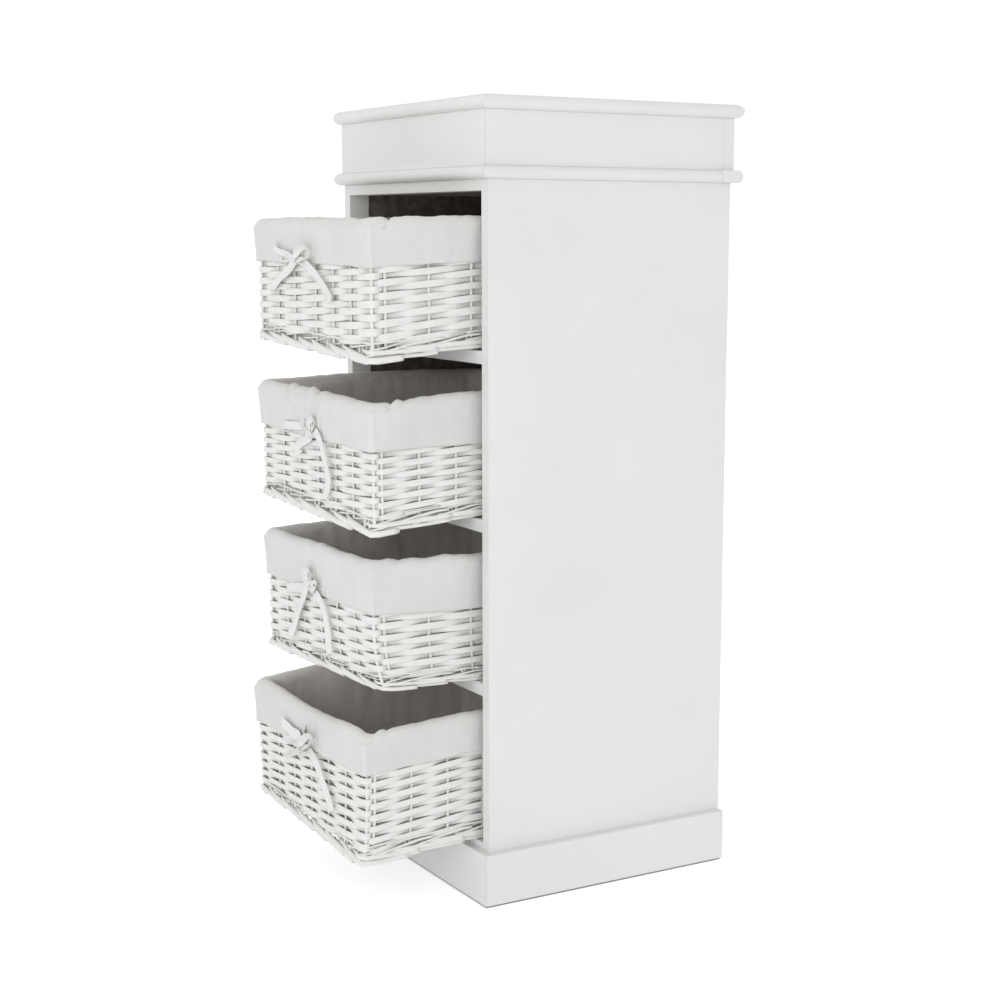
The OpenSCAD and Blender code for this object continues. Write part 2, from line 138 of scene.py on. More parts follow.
class Graph:
    """A material's node tree, with short calls that add and join nodes."""

    def __init__(self, name: str) -> None:
        """Starts an empty material.

        Args:
            name: Its name.
        """
        self.material = bpy.data.materials.new(name)
        self.material.use_nodes = True
        self.tree = self.material.node_tree
        self.tree.nodes.clear()

    def node(self, kind: str, inputs: dict | None = None, **settings: object) -> bpy.types.Node:
        """Adds a node.

        Args:
            kind: Blender's name of the node type.
            inputs: Values or sockets by input name or number.
            settings: Properties of the node.

        Returns:
            The new node.
        """
        made = self.tree.nodes.new(kind)
        for key, value in settings.items():
            setattr(made, key, value)
        for key, value in (inputs or {}).items():
            if isinstance(value, bpy.types.NodeSocket):
                self.tree.links.new(value, made.inputs[key])
            else:
                made.inputs[key].default_value = value
        return made

    def where(self) -> Socket:
        """Coordinates in the row frame."""
        return self.node("ShaderNodeTexCoord").outputs["Object"]

    def along(self) -> Socket:
        """Coordinates along and across a rod, tape or cloth."""
        return self.node("ShaderNodeUVMap", uv_map="along").outputs[0]

    def maths(self, operation: str, *values: object) -> Socket:
        """Adds a maths node of numbers or sockets, and returns its result."""
        return self.node("ShaderNodeMath", dict(enumerate(values)), operation=operation).outputs[0]

    def band(self, value: Socket, low: float, high: float) -> Socket:
        """Maps a value smoothly from 0 at low to 1 at high."""
        inputs = {"Value": value, "From Min": low, "From Max": high}
        return self.node("ShaderNodeMapRange", inputs, interpolation_type="SMOOTHSTEP").outputs[0]

    def mix(self, share: object, first: object, second: object, blend: str = "MIX") -> Socket:
        """Mixes two colours.

        Args:
            share: Share of the second colour.
            first: A colour or socket.
            second: A colour or socket.
            blend: Blender's name of the way of mixing.

        Returns:
            The mixed colour socket.
        """
        full = [(*c, 1.0) if isinstance(c, tuple) and len(c) == 3 else c for c in (first, second)]
        inputs = {0: share, 6: full[0], 7: full[1]}
        made = self.node("ShaderNodeMix", inputs, data_type="RGBA", blend_type=blend)
        return made.outputs[2]

    def noise(self, where: Socket, scale: float | Colour, detail: float = 3.0) -> Socket:
        """Adds a noise texture.

        Args:
            where: Coordinates.
            scale: Lumps per metre, one number or one for each axis.
            detail: Octaves of detail.

        Returns:
            The noise value, about 0.5 on average.
        """
        if isinstance(scale, tuple):
            where = self.node("ShaderNodeMapping", {"Vector": where, "Scale": scale}).outputs[0]
            scale = 1.0
        inputs = {"Vector": where, "Scale": scale, "Detail": detail}
        return self.node("ShaderNodeTexNoise", inputs).outputs[0]

    def crevice(self, reach: float, low: float, high: float) -> Socket:
        """Gives 0 deep in a gap and 1 on open surfaces.

        Args:
            reach: How far away a neighbour still counts, in metres.
            low: Openness that becomes 0.
            high: Openness that becomes 1.

        Returns:
            The openness socket.
        """
        made = self.node("ShaderNodeAmbientOcclusion", {"Distance": reach}, samples=6)
        return self.band(made.outputs["AO"], low, high)

    def bump(self, heights: Sequence[tuple[Socket, float]], under: Socket | None = None) -> Socket:
        """Stacks bump nodes.

        Args:
            heights: Each height socket with its depth in metres.
            under: A normal socket to start from.

        Returns:
            The normal socket.
        """
        normal = under
        for height, depth in heights:
            inputs = {"Height": height, "Distance": depth, "Strength": 1.0}
            if normal is not None:
                inputs["Normal"] = normal
            normal = self.node("ShaderNodeBump", inputs).outputs[0]
        return normal

    def surface(self, colour: Socket, rough: Socket, normal: Socket, more: dict) -> Socket:
        """Adds the surface shader.

        Args:
            colour: Its colour.
            rough: Its roughness.
            normal: Its normal.
            more: Further inputs by name.

        Returns:
            The shader socket.
        """
        inputs = {"Base Color": colour, "Roughness": rough, "Normal": normal, **more}
        return self.node("ShaderNodeBsdfPrincipled", inputs).outputs[0]

    def finish(self, shader: Socket) -> Material:
        """Joins the last shader to the output and returns the material."""
        self.node("ShaderNodeOutputMaterial", {"Surface": shader})
        return self.material


@dataclass(frozen=True)
class BoardPaint:
    """White paint on boards, with raw brown hardboard inside the compartments.

    Attributes:
        name: Name of the material.
        colour: Colour of the paint.
        worn: Colour where the edges are rubbed.
        joint_shade: Colour of the painted shade deep in the joints.
        crack: Colour of the joints that the paint doesn't fill.
        raw: Colour of the unpainted inside.
        arris: Radius of the softened edges.
        half_inside: Half the clear width inside the carcass.
        strip_y: Depth at which the painted strip behind the front edges ends.
        top: Height above which everything is painted.
        raw_inside: Whether the board is raw inside.
    """

    name: str
    colour: Colour = (0.785, 0.793, 0.778)
    worn: Colour = (0.60, 0.585, 0.55)
    joint_shade: Colour = (0.62, 0.61, 0.585)
    crack: Colour = (0.26, 0.24, 0.215)
    raw: Colour = (0.205, 0.176, 0.152)
    arris: float = 0.0011
    half_inside: float = 0.175
    strip_y: float = -0.07
    top: float = 0.84
    raw_inside: bool = False

    def build(self) -> Material:
        """Makes the material.

        Returns:
            The material.
        """
        g = Graph(self.name)
        where = g.where()
        cloud = g.noise(where, 7.0, 4.0)
        roller = g.noise(where, 850.0, 2.0)
        brush = g.noise(where, (260.0, 260.0, 14.0), 2.0)
        round_edge = g.node("ShaderNodeBevel", {"Radius": self.arris}, samples=6).outputs[0]
        colour = g.mix(g.band(cloud, 0.35, 0.7), self.colour, shaded(self.colour, 0.965))
        colour = g.mix(g.maths("MULTIPLY", self.rubbed(g, where, round_edge), 0.35), colour, self.worn)
        # Painted shade: darkens the paint within 3 mm of neighbouring boards, in the joints and under
        # overhangs.
        colour = g.mix(g.crevice(0.003, 0.05, 0.55), self.joint_shade, colour)
        rough = g.maths("MULTIPLY_ADD", cloud, 0.16, 0.36)
        if self.raw_inside:
            filled = g.band(g.noise(where, 32.0), 0.47, 0.60)
            closed = g.maths("MAXIMUM", g.crevice(0.0014, 0.10, 0.55), filled)
            colour = g.mix(closed, self.crack, colour)
            inside = self.inside_mask(g, where)
            fibres = g.noise(where, (90.0, 90.0, 90.0), 5.0)
            bare = g.mix(g.band(fibres, 0.3, 0.7), self.raw, shaded(self.raw, 0.6))
            colour = g.mix(inside, colour, bare)
            rough = g.maths("MAXIMUM", rough, g.maths("MULTIPLY", inside, 0.8))
        normal = g.bump([(roller, 0.00006), (brush, 0.00005)], round_edge)
        return g.finish(g.surface(colour, rough, normal, SLIGHT_GLOSS))

    def rubbed(self, g: Graph, where: Socket, round_edge: Socket) -> Socket:
        """Gives 1 at rubbed places on the edges.

        Args:
            g: The graph.
            where: Coordinates in the row frame.
            round_edge: The normal that turns over the edges.

        Returns:
            The mask socket.
        """
        flat = g.node("ShaderNodeNewGeometry").outputs["Normal"]
        vectors = {0: round_edge, 1: flat}
        turned = g.node("ShaderNodeVectorMath", vectors, operation="DOT_PRODUCT").outputs["Value"]
        patches = g.band(g.noise(where, 55.0, 4.0), 0.50, 0.72)
        return g.maths("MULTIPLY", g.band(turned, 0.995, 0.90), patches)

    def inside_mask(self, g: Graph, where: Socket) -> Socket:
        """Gives 1 inside the compartments, behind the painted strip.

        Args:
            g: The graph.
            where: Coordinates in the row frame.

        Returns:
            The mask socket.
        """
        split = g.node("ShaderNodeSeparateXYZ", {0: where})
        ragged = g.maths("MULTIPLY_ADD", g.noise(where, 60.0), 0.004, -0.002)
        depth = g.maths("ADD", split.outputs[1], ragged)
        behind = g.band(depth, self.strip_y - 0.0004, self.strip_y + 0.0004)
        off_middle = g.maths("ABSOLUTE", split.outputs[0])
        side = g.maths("LESS_THAN", off_middle, self.half_inside + 0.0002)
        low = g.maths("LESS_THAN", split.outputs[2], self.top)
        return g.maths("MULTIPLY", g.maths("MULTIPLY", behind, side), low)


@dataclass(frozen=True)
class PaintedWicker:
    """Willow rods under white paint: streaks along the rod, brown grime and painted shade in the crossings.

    Attributes:
        name: Name of the material.
        colour: Colour of the paint.
        grime_and_shade: Colour deep between the rods, partly grime on the bare wood and partly painted shade.
        stained: Colour of large faint clouds.
        bruised: Colour of small dark marks.
    """

    name: str = "painted_wicker"
    colour: Colour = (0.81, 0.81, 0.795)
    grime_and_shade: Colour = (0.34, 0.29, 0.245)
    stained: Colour = (0.79, 0.775, 0.74)
    bruised: Colour = (0.50, 0.42, 0.33)

    def build(self) -> Material:
        """Makes the material.

        Returns:
            The material.
        """
        g = Graph(self.name)
        along = g.along()
        streak = g.noise(along, (60.0, 7.0, 1.0), 4.0)
        grain = g.noise(along, (240.0, 26.0, 1.0))
        bruise = g.noise(along, (95.0, 3.0, 1.0), 2.0)
        cloud = g.noise(g.where(), 28.0, 2.0)
        colour = g.mix(g.band(streak, 0.42, 0.75), self.colour, shaded(self.colour, 0.90))
        stains, bruises = g.band(cloud, 0.35, 0.75), g.band(bruise, 0.70, 0.80)
        for mask, tint in ((stains, self.stained), (bruises, self.bruised)):
            colour = g.mix(g.maths("MULTIPLY", mask, 0.5), colour, tint)
        # Darkens the paint near neighbouring rods, within 2.2 mm and 10 mm: partly grime on the bare wood in
        # the crossings, partly painted shade.
        for reach, low in ((0.0022, 0.03), (0.010, 0.04)):
            colour = g.mix(g.crevice(reach, low, 0.20), self.grime_and_shade, colour)
        rough = g.maths("MULTIPLY_ADD", streak, 0.25, 0.34)
        normal = g.bump([(streak, 0.0003), (grain, 0.0001)])
        return g.finish(g.surface(colour, rough, normal, SLIGHT_GLOSS))


@dataclass(frozen=True)
class Cotton:
    """Plain woven cotton: threads, slubs, a soft sheen and some light let through.

    Attributes:
        name: Name of the material.
        colour: Colour of the cloth.
        inside: Colour of the bag's inside, lighter and warmer than the cloth: painted light standing in for
            the warm light that bounces off the brown boards.
        slubbed: Colour of the slubs.
        crease_shade: Colour of the painted shade deep in the creases.
        inside_to: Length along the profile at which the inside ends.
        threads: Threads per metre.
        through: Share of light that passes through.
    """

    name: str
    colour: Colour = (0.838, 0.838, 0.824)
    inside: Colour = (0.92, 0.885, 0.835)
    slubbed: Colour = (0.76, 0.755, 0.735)
    crease_shade: Colour = (0.50, 0.46, 0.41)
    inside_to: float = 0.27
    threads: float = 1300.0
    through: float = 0.16

    def build(self) -> Material:
        """Makes the material.

        Returns:
            The material.
        """
        g = Graph(self.name)
        cloth, where = g.along(), g.where()
        waves = []
        for direction in ("X", "Y"):
            inputs = {"Vector": cloth, "Scale": self.threads / 20, "Distortion": 1.2, "Detail": 1.0}
            made = g.node("ShaderNodeTexWave", inputs, wave_type="BANDS", bands_direction=direction)
            waves.append(made.outputs["Fac"])
        weave = g.maths("MAXIMUM", *waves)
        slub = g.noise(cloth, (420.0, 40.0, 1.0))
        crease = g.noise(where, 75.0, 4.0)
        cloud = g.noise(where, 14.0)
        profile = g.node("ShaderNodeSeparateXYZ", {0: cloth}).outputs[0]
        outside = g.band(profile, self.inside_to, self.inside_to + 0.02)
        # Painted light: the bag's inside takes a lighter, warmer colour than its outside, standing in for
        # warm bounced light.
        colour = g.mix(outside, self.inside, self.colour)
        shade = g.mix(1.0, colour, (0.95, 0.95, 0.95), "MULTIPLY")
        colour = g.mix(g.band(cloud, 0.35, 0.7), colour, shade)
        colour = g.mix(g.maths("MULTIPLY", g.band(slub, 0.55, 0.8), 0.2), colour, self.slubbed)
        # Painted shade: darkens the cloth within 4 mm of neighbouring surfaces, deep in creases and folds.
        colour = g.mix(g.crevice(0.004, 0.1, 0.6), self.crease_shade, colour)
        normal = g.bump([(crease, 0.0012), (weave, 0.00012), (slub, 0.0001)])
        rough = g.maths("MULTIPLY_ADD", slub, 0.1, 0.84)
        sheen = {"Sheen Weight": 0.25, "Specular IOR Level": 0.2}
        front = g.surface(colour, rough, normal, sheen)
        back = g.node("ShaderNodeBsdfTranslucent", {"Color": colour, "Normal": normal}).outputs[0]
        return g.finish(g.node("ShaderNodeMixShader", {0: self.through, 1: front, 2: back}).outputs[0])


@dataclass(frozen=True)
class Hardboard:
    """Raw pressed fibre board, mottled, with a fine screen pattern.

    Attributes:
        name: Name of the material.
        colour: Main colour.
    """

    name: str = "pressed_fibre_board"
    colour: Colour = (0.095, 0.072, 0.055)

    def build(self) -> Material:
        """Makes the material.

        Returns:
            The material.
        """
        g = Graph(self.name)
        where = g.where()
        fibres = g.noise(where, (420.0, 420.0, 160.0), 5.0)
        cloud = g.noise(where, 9.0, 4.0)
        screen = g.node("ShaderNodeTexVoronoi", {"Vector": where, "Scale": 620.0}).outputs["Distance"]
        dark = shaded(self.colour, 0.55)
        colour = g.mix(g.band(fibres, 0.3, 0.7), dark, shaded(self.colour, 1.4))
        colour = g.mix(g.maths("MULTIPLY", g.band(cloud, 0.35, 0.7), 0.4), colour, dark)
        normal = g.bump([(fibres, 0.00012), (screen, 0.00012)])
        return g.finish(g.surface(colour, g.maths("MULTIPLY_ADD", cloud, 0.2, 0.6), normal, {}))


@dataclass(frozen=True)
class SmallHardware:
    """Moulded plastic or bare steel of small parts, with fine scratches.

    Attributes:
        name: Name of the material.
        colour: Main colour.
        metallic: 1 for steel, 0 for plastic.
        roughness: Mean roughness.
    """

    name: str
    colour: Colour
    metallic: float
    roughness: float

    def build(self) -> Material:
        """Makes the material.

        Returns:
            The material.
        """
        g = Graph(self.name)
        where = g.where()
        cloud = g.noise(where, 300.0)
        scratch = g.noise(where, (900.0, 120.0, 900.0), 2.0)
        colour = g.mix(g.band(cloud, 0.35, 0.7), self.colour, shaded(self.colour, 0.8))
        rough = g.maths("MULTIPLY_ADD", scratch, 0.2, self.roughness - 0.1)
        normal = g.bump([(scratch, 0.00003)])
        return g.finish(g.surface(colour, rough, normal, {"Metallic": self.metallic}))


class MeshSink:
    """Collects the points, faces and cloth coordinates of one piece."""

    def __init__(self) -> None:
        """Starts with nothing."""
        self.points: list[Array] = []
        self.faces: list[tuple[int, ...]] = []
        self.coords: list[Point] = []
        self.count = 0

    def grid(
        self, points: Array, u: Array, v: Array, wrap_u: bool = False, wrap_v: bool = True, caps: bool = False
    ) -> None:
        """Adds a grid of quads.

        Args:
            points: Rows of points, rows by columns by 3.
            u: Coordinate of each row, with one more value where the rows wrap.
            v: Coordinate of each column, with one more value where the columns wrap.
            wrap_u: Whether the last row joins the first.
            wrap_v: Whether the last column joins the first.
            caps: Whether the first and last rows are closed by faces.
        """
        rows, columns = points.shape[:2]
        start = self.count
        for i in range(rows if wrap_u else rows - 1):
            a, b = start + i * columns, start + (i + 1) % rows * columns
            for j in range(columns if wrap_v else columns - 1):
                k = (j + 1) % columns
                self.faces.append((a + j, b + j, b + k, a + k))
                self.coords += [(u[i], v[j]), (u[i + 1], v[j]), (u[i + 1], v[j + 1]), (u[i], v[j + 1])]
        if caps:
            first = tuple(start + j for j in range(columns))
            last = tuple(start + (rows - 1) * columns + j for j in reversed(range(columns)))
            for face, end in ((first, 0), (last, rows - 1)):
                self.faces.append(face)
                self.coords += [(u[end] + 0.001 * math.cos(j), 0.1 * math.sin(j)) for j in range(columns)]
        self.points.append(points.reshape(-1, 3))
        self.count += rows * columns

    def tube(
        self, path: Array, tall: Array | float, thick: Array | float, sides: int = 10, closed: bool = False,
        square: float = 2.0, shift: float = 0.0, up: Place = (0.0, 0.0, 1.0),
    ) -> None:
        """Adds a rod of oval section that follows a path.

        Args:
            path: Points along the rod.
            tall: Half size along the up direction, one value or one per point.
            thick: Half size across it.
            sides: Points round the section.
            closed: Whether the path joins its start.
            square: 2 gives an ellipse, and more gives flatter sides.
            shift: Start of the coordinate along the rod.
            up: The section's up direction.
        """
        tangent = np.roll(path, -1, 0) - np.roll(path, 1, 0) if closed else np.gradient(path, axis=0)
        tangent = unit(tangent)
        side = unit(np.cross(tangent, np.asarray(up, float)))
        top = np.cross(side, tangent)
        angle = np.arange(sides) * 2 * math.pi / sides
        x, z = (np.sign(wave) * np.abs(wave) ** (2 / square) for wave in (np.cos(angle), np.sin(angle)))
        tall, thick = (np.broadcast_to(np.asarray(half, float), len(path)) for half in (tall, thick))
        points = (
            path[:, None, :]
            + side[:, None, :] * (thick[:, None] * x[None, :])[..., None]
            + top[:, None, :] * (tall[:, None] * z[None, :])[..., None]
        )
        u = lengths_along(path) + shift
        u = np.append(u, 2 * u[-1] - u[-2])
        self.grid(points, u, np.arange(sides + 1) / sides, closed, True, not closed)

    def build(self, name: str, material: Material, smooth: bool = True) -> Piece:
        """Makes the object.

        Args:
            name: Name of the piece.
            material: Its finish.
            smooth: Whether it is shaded smooth.

        Returns:
            The new object.
        """
        mesh = bpy.data.meshes.new(name)
        mesh.from_pydata(np.concatenate(self.points).tolist(), [], self.faces)
        layer = mesh.uv_layers.new(name="along")
        layer.data.foreach_set("uv", np.asarray(self.coords, np.float32).ravel())
        mesh.polygons.foreach_set("use_smooth", [smooth] * len(mesh.polygons))
        mesh.materials.append(material)
        mesh.update()
        return link(name, mesh)


def unit(vectors: Array) -> Array:
    """Vectors of length 1, along the last axis."""
    return vectors / (np.linalg.norm(vectors, axis=-1)[..., None] + 1e-12)


def lengths_along(path: Array) -> Array:
    """Length from a path's start to each of its points."""
    return np.concatenate([[0.0], np.cumsum(np.linalg.norm(np.diff(path, axis=0), axis=1))])


def smooth_through(knots: Array, values: Array, at: Array) -> Array:
    """Draws a smooth curve through values at knots.

    Args:
        knots: Rising places.
        values: Value at each.
        at: Places to evaluate.

    Returns:
        The curve's values.
    """
    slope = np.gradient(values, knots)
    k = np.clip(np.searchsorted(knots, at, side="right") - 1, 0, len(knots) - 2)
    h = knots[k + 1] - knots[k]
    t = (at - knots[k]) / h
    a, b = values[k], values[k + 1]
    return (
        (2 * t**3 - 3 * t**2 + 1) * a + (t**3 - 2 * t**2 + t) * h * slope[k]
        + (3 * t**2 - 2 * t**3) * b + (t**3 - t**2) * h * slope[k + 1]
    )


class Outline:
    """A rounded rectangle seen from above, walked anticlockwise from the middle of its front."""

    def __init__(self, mid_y: float, half_x: float, half_y: float, radius: float) -> None:
        """Lays out the straight and round stretches.

        Args:
            mid_y: Depth of the middle.
            half_x: Half width.
            half_y: Half depth.
            radius: Corner radius.
        """
        self.mid_y, self.radius = mid_y, radius
        self.flat_x, self.flat_y = half_x - radius, half_y - radius
        bend, wide, deep = radius * math.pi / 2, 2 * self.flat_x, 2 * self.flat_y
        self.lengths = np.array([self.flat_x, bend, deep, bend, wide, bend, deep, bend, self.flat_x])
        self.starts = np.concatenate([[0.0], np.cumsum(self.lengths)])
        self.total = float(self.starts[-1])

    def part_at(self, s: Array) -> Array:
        """Number of the stretch on which each length lies."""
        return np.clip(np.searchsorted(self.starts, s, side="right") - 1, 0, len(self.lengths) - 1)

    def at(self, s: Array) -> tuple[Array, Array]:
        """Points and outward directions at lengths along the outline.

        Args:
            s: Lengths along it.

        Returns:
            Points and unit normals, each n by 2.
        """
        s = np.mod(np.asarray(s, float), self.total)
        part = self.part_at(s)
        t = s - self.starts[part]
        bent = part % 2 == 1
        angle = (part // 2 - 1) * math.pi / 2 + np.where(bent, t / max(self.radius, 1e-9), 0.0)
        normal = np.stack([np.cos(angle), np.sin(angle)], 1)
        along = np.stack([-normal[:, 1], normal[:, 0]], 1)
        signs = np.array([(0, -1), *(c.value for c in Corner for _ in range(2))])
        anchor = signs[part] * (self.flat_x, self.flat_y) + (0.0, self.mid_y)
        point = anchor + normal * self.radius + along * np.where(bent, 0.0, t)[:, None]
        return point, normal

    def on_front(self, x: float) -> float:
        """Length at a place across the front."""
        return x % self.total

    def on_right(self, y: float) -> float:
        """Length at a place along the right side, y from the middle."""
        return self.starts[2] + y + self.flat_y

    def on_back(self, x: float) -> float:
        """Length at a place across the back."""
        return self.starts[4] + self.flat_x - x

    def on_left(self, y: float) -> float:
        """Length at a place along the left side, y from the middle."""
        return self.starts[6] + self.flat_y - y

    def at_corner(self, corner: Corner) -> float:
        """Length at the middle of a corner's bend."""
        k = list(Corner).index(corner)
        return float(self.starts[1 + 2 * k] + self.lengths[1] / 2)

    def beyond(self, s: Array | float, start: float) -> Array:
        """Length from start to s the shorter way round, negative where s comes first."""
        return (s - start + self.total / 2) % self.total - self.total / 2


class SmoothNoise:
    """Seeded smooth noise, periodic along its first coordinate."""

    def __init__(self, seed: int, period: float, waves: int, longest: float, shortest: float) -> None:
        """Draws the waves.

        Args:
            seed: Seed of the random numbers.
            period: Length after which the first coordinate repeats.
            waves: Number of waves.
            longest: Longest wavelength.
            shortest: Shortest wavelength.
        """
        rng = np.random.default_rng(seed)
        length = np.exp(rng.uniform(math.log(shortest), math.log(longest), waves))
        self.turns = np.maximum(1, np.round(period / length)) * 2 * math.pi / period
        self.tilt = rng.uniform(-1, 1, waves) * 2 * math.pi / (length * 1.5)
        self.phase = rng.uniform(0, 2 * math.pi, waves)
        self.size = (length / length.max()) ** 0.5
        self.size /= math.sqrt((self.size**2).sum() / 2)

    def __call__(self, s: Array, z: Array | float = 0.0) -> Array:
        """Evaluates the noise.

        Args:
            s: Places along the period.
            z: Places across it.

        Returns:
            Values of about unit size.
        """
        s, z = np.broadcast_arrays(np.asarray(s, float), np.asarray(z, float))
        arg = s[..., None] * self.turns + z[..., None] * self.tilt + self.phase
        return (np.sin(arg) * self.size).sum(-1)


@dataclass(frozen=True)
class Sag:
    """How far a basket's corners lie from a true box, in metres.

    Each level has a value for the near corner, the left front corner, and the right and the left
    side where they enter the cabinet.

    Attributes:
        foot: Rise of the lowest rods.
        edge: Rise of the cloth's lower edge.
        top: Rise of the cloth's top.
        near_out: How far the near corner stands forward.
        left_out: How far the left front corner stands forward.
        foot_out: How much further the foot stands forward.
        left_in: How far the left front corner is drawn in at the bottom.
        to_jamb: Length behind the front at which a side enters the cabinet.
        out_to: Length behind the front at which nothing stands forward any more.
        in_to: Length behind the front at which nothing is drawn in any more.
    """

    foot: Levels
    edge: Levels
    top: Levels
    near_out: float = 0.0
    left_out: float = 0.0
    foot_out: float = 0.0
    left_in: float = 0.0
    to_jamb: float = 0.137
    out_to: float = 0.2
    in_to: float = 0.15


@dataclass(frozen=True)
class TiePath:
    """One length of tape on the front.

    Attributes:
        points: Places across and up from the knot, in metres.
        turn: How far the tape is turned about its own length, in degrees.
        lift: How far it lies off the front.
        wide: Its width.
        opens: Share of its length over which it opens to its width.
    """

    points: tuple[Point, ...]
    turn: float = 0.0
    lift: float = 0.002
    wide: float = 0.010
    opens: float = 0.14


@dataclass(frozen=True)
class BasketLook:
    """What the photograph shows of one basket.

    Attributes:
        index: Number of the basket from the top.
        pitch: Height of one row of weaving.
        front_stakes: Places of the front stakes between the corner posts.
        side_first: Distance of the first side stake behind the front face.
        side_stakes: Stakes along a side.
        fall: How far the cloth hangs down outside.
        sag: The basket's lean.
        knot_x: Place of the knot across the front.
        knot_up: Height of the knot above the cloth's lower edge.
        pleats: Depth of the fine pleats above the knot.
        tapes: The tie's lengths of tape.
        dips: Dips in the cloth's top: length past the near corner, depth and half width of each.
        folds: Large folds above the knot: place across the top, half width and height of each.
        strands: Rods that climb round the basket side by side.
        flip: 1 where the rods pass the stakes the other way about.
        phase: How far the rods lie above their rows, in rows.
    """

    index: int
    pitch: float
    front_stakes: tuple[float, ...]
    side_first: float
    side_stakes: int
    fall: float
    sag: Sag
    knot_x: float
    knot_up: float
    pleats: float
    tapes: tuple[TiePath, ...]
    dips: tuple[Place, ...]
    folds: tuple[Place, ...] = ()
    strands: int = 8
    flip: int = 0
    phase: float = 0.0


@dataclass(frozen=True)
class WeaverShape:
    """How a flat rod bends and swells on its way past the stakes.

    Attributes:
        half: Half its thickness, in metres.
        hug: How far it stands off a stake, in half thicknesses.
        near_dive: How suddenly it dives between stakes that stand close.
        far_dive: How suddenly it dives between stakes that stand far apart.
        far: Distance from which stakes stand far apart.
        swell_turn: How suddenly it comes out past a stake.
        drift_out: How far it drifts in and out, in metres.
        drift_up: How far it drifts up and down, in metres.
        tall: Its height in rows.
        swell: How much taller it is outside, in rows.
        lumps: How uneven its height is, in rows.
        thick_lumps: How uneven its thickness is, as a share.
        start_tall: Share of its height that it starts with.
        start_len: Length over which it reaches its height.
        low_tall: How much taller it is in the lowest row, as a share.
        square: How flat its sides are.
    """

    half: float = 0.0011
    hug: float = 0.95
    near_dive: float = 2.2
    far_dive: float = 4.0
    far: float = 0.03
    swell_turn: float = 0.6
    drift_out: float = 0.00015
    drift_up: float = 0.0003
    tall: float = 1.055
    swell: float = 0.08
    lumps: float = 0.035
    thick_lumps: float = 0.06
    start_tall: float = 0.45
    start_len: float = 0.02
    low_tall: float = 0.16
    square: float = 4.6


@dataclass(frozen=True)
class FootRod:
    """A rod of the foot, measured from the outer rod beside which it lies.

    Attributes:
        later: How much later it starts.
        share: Its length as a share of the outer rod's.
        high: Height of its start above the basket's underside.
        drop: How much lower it ends.
        inside: How much further in it lies.
        stout: Its radius as a share of the outer rod's.
    """

    later: float
    share: float
    high: float
    drop: float
    inside: float
    stout: float


@dataclass(frozen=True)
class RodSizes:
    """Sizes shared by every basket's rods, in metres.

    Attributes:
        weaver: Shape of a weaver.
        band_gap: How far the weave's middle line lies inside the basket's box.
        corner_r: Corner radius of the weave.
        stake_r: Half width of a stake.
        stake_deep: Half depth of a stake between the corners.
        stake_foot: Height at which the stakes begin.
        stake_short: How far the stakes end below the basket's top.
        stake_uneven: Least and most change of a stake's width, as a share.
        back_stakes: How far from the middle the outermost stakes of the back stand.
        border_twist: How far the two border rods lie off the middle line.
        border_turns: How often they go round each other.
        border_half: Half thickness of a border rod.
        border_short: How far the border ends below the basket's top.
        foot_h: Height of the foot.
        foot_rod_r: Radius of an outer foot rod.
        foot_rod_len: Length of an outer foot rod.
        foot_pitch: Distance between outer foot rods.
        foot_drop: How far an outer foot rod slants down.
        foot_keep: How far below the weave an outer foot rod starts.
        foot_rods: The rods beside each outer one.
        front_foot: Where the part of the foot that hangs in front starts and ends, from the near corner.
    """

    weaver: WeaverShape = WeaverShape()
    band_gap: float = 0.0060
    corner_r: float = 0.0025
    stake_r: float = 0.0020
    stake_deep: float = 0.0016
    stake_foot: float = 0.004
    stake_short: float = 0.010
    stake_uneven: Point = (-0.04, 0.06)
    back_stakes: float = 0.103
    border_twist: float = 0.0026
    border_turns: int = 46
    border_half: float = 0.0025
    border_short: float = 0.0045
    foot_h: float = 0.021
    foot_rod_r: float = 0.0030
    foot_rod_len: float = 0.105
    foot_pitch: float = 0.046
    foot_drop: float = 0.0090
    foot_keep: float = 0.0062
    foot_rods: tuple[FootRod, ...] = (
        FootRod(0.022, 0.8, 0.0072, 0.004, 0.0022, 0.85),
        FootRod(0.0, 1.0, 0.0125, 0.003, 0.0115, 1.3),
        FootRod(0.02, 1.0, 0.0185, 0.003, 0.0125, 1.3),
    )
    front_foot: Point = (-0.34, 0.14)


@dataclass(frozen=True)
class ClothWaves:
    """Heights of the cloth's waves, seams and creases, in metres.

    Attributes:
        top_wide: Rise of the folded edge in wide waves.
        top_fine: Its rise in fine waves.
        wall_in: How far the walls are drawn in.
        wall_wide: Their bulge in wide waves.
        wall_fine: Their bulge in fine waves.
        band_out: How far the band's lower edge stands off.
        band_wide: The band's bulge in wide waves.
        band_fine: Its bulge in fine waves.
        band_in: How far the band may be drawn in at most.
        edge_wide: Rise of the lower edge in wide waves.
        edge_fine: Its rise in fine waves.
        hem: Depth of the hem's seam.
        hem_half: Half width of that seam.
        corner_seam: Depth of the seam down each corner.
        corner_half: Half width of that seam.
        corner_swell: How far the cloth swells beside that seam.
        corner_reach: Half width of that swelling.
        pleat_pitch: Distance between the fine pleats above the knot.
        pleat_reach: How far to each side of the knot they reach.
    """

    top_wide: float = 0.0005
    top_fine: float = 0.00022
    wall_in: float = 0.0012
    wall_wide: float = 0.001
    wall_fine: float = 0.0004
    band_out: float = 0.0007
    band_wide: float = 0.0007
    band_fine: float = 0.00012
    band_in: float = 0.0006
    edge_wide: float = 0.0005
    edge_fine: float = 0.0002
    hem: float = 0.0004
    hem_half: float = 0.0012
    corner_seam: float = 0.0010
    corner_half: float = 0.0010
    corner_swell: float = 0.0005
    corner_reach: float = 0.003
    pleat_pitch: float = 0.0115
    pleat_reach: float = 0.045


